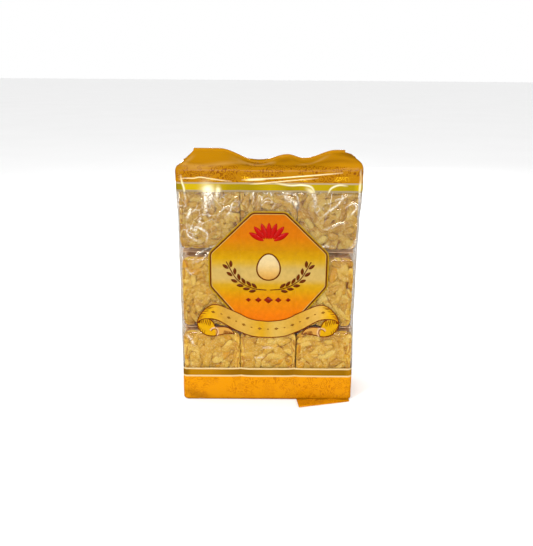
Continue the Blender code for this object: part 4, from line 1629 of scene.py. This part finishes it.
# The stage: the sky's strength below and above the horizon, the floor, and the lamps
stageLook = {
    "world": (("From Min", -0.30), ("From Max", -0.08), ("To Min", 0.4), ("To Max", 1.0)),
    "floorGreys": ((0.3, 248), (0.7, 250)),
    "floorSize": 40.0,
    "lights": (  # name, place, aims at, width, height, watts
        ("frontPanel", (0.10, -1.50, 0.50), (0.0, 0.0, 0.15), 1.50, 0.08, 6.4),
        ("upperPanel", (-0.25, -1.35, 0.90), (0.0, 0.0, 0.15), 1.30, 0.10, 5.2),
        ("keyPanel", (-0.90, -0.85, 1.50), (0.0, 0.0, 0.12), 0.30, 0.30, 11.0),
        ("rearPanel", (-0.35, 1.45, 0.28), (0.0, 0.0, 0.15), 1.30, 0.10, 6.5),
        ("rearLeftPanel", (-1.30, 0.80, 0.45), (0.0, 0.0, 0.15), 0.10, 0.70, 3.0),
        ("rearRightPanel", (1.30, 0.80, 0.45), (0.0, 0.0, 0.15), 0.10, 0.70, 3.0),
        ("leftPanel", (-1.00, -1.05, 0.32), (0.0, 0.0, 0.15), 0.08, 0.62, 3.2),
        ("rightPanel", (1.00, -1.05, 0.32), (0.0, 0.0, 0.15), 0.08, 0.62, 3.2),
    ),
}


# A pale sky that is darker below the horizon, soft lamps, and a pale floor that ends far away
def buildStage():
    world = bpy.data.worlds.new("studio")
    bpy.context.scene.world = world
    world.use_nodes = True
    world.cycles_visibility.glossy = False  # the film mirrors the lamps alone
    tree = world.node_tree
    background = tree.nodes["Background"]
    background.inputs["Color"].default_value = white
    way = tree.nodes.new("ShaderNodeTexCoord")
    split = tree.nodes.new("ShaderNodeSeparateXYZ")
    level = tree.nodes.new("ShaderNodeMapRange")
    tree.links.new(way.outputs["Generated"], split.inputs[0])
    tree.links.new(split.outputs["Z"], level.inputs["Value"])
    for key, value in stageLook["world"]:
        level.inputs[key].default_value = value
    tree.links.new(level.outputs[0], background.inputs["Strength"])
    for name, place, aim, width, height, watts in stageLook["lights"]:
        lamp = bpy.data.lights.new(name, "AREA")
        lamp.shape = "RECTANGLE"
        lamp.size, lamp.size_y, lamp.energy = width, height, watts
        holder = addObject(name, lamp)
        holder.visible_glossy = name != "keyPanel"  # its square isn't mirrored in the roof
        holder.location = place
        holder.rotation_euler = (Vector(aim) - Vector(place)).to_track_quat("-Z", "Y").to_euler()
    size = stageLook["floorSize"] / 2.0
    corners = [(-size, -size, 0), (size, -size, 0), (size, size, 0), (-size, size, 0)]
    mesh = bpy.data.meshes.new("floor")
    mesh.from_pydata(corners, [], [(0, 1, 2, 3)])
    desk = NodeDesk("paleFloor", 0.7)
    shade = desk.greys(desk.noise(3.0), *stageLook["floorGreys"])
    mesh.materials.append(desk.set(Base_Color=shade, Specular_IOR_Level=0.2))
    floor = addObject("floor", mesh)
    floor.visible_glossy = False
    bpy.context.scene.view_settings.view_transform = "Standard"


placeCamera(cameraView)
buildStage()
print("camera and stage ready")
printedFilm, clearFilm = printMaterial(), clearMaterial()
bagPiece = buildFilm(printedFilm, clearFilm)
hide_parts("film_pack")
buildSeam(printedFilm, clearMaterial("seamFilm", 0.03, 0.05))
buildCorner(printedFilm)
print("film, seam and corner made")
buildLabel()
print("label made")
buildBlocks(doughMaterial())
buildWrappers(wrapperMaterial())
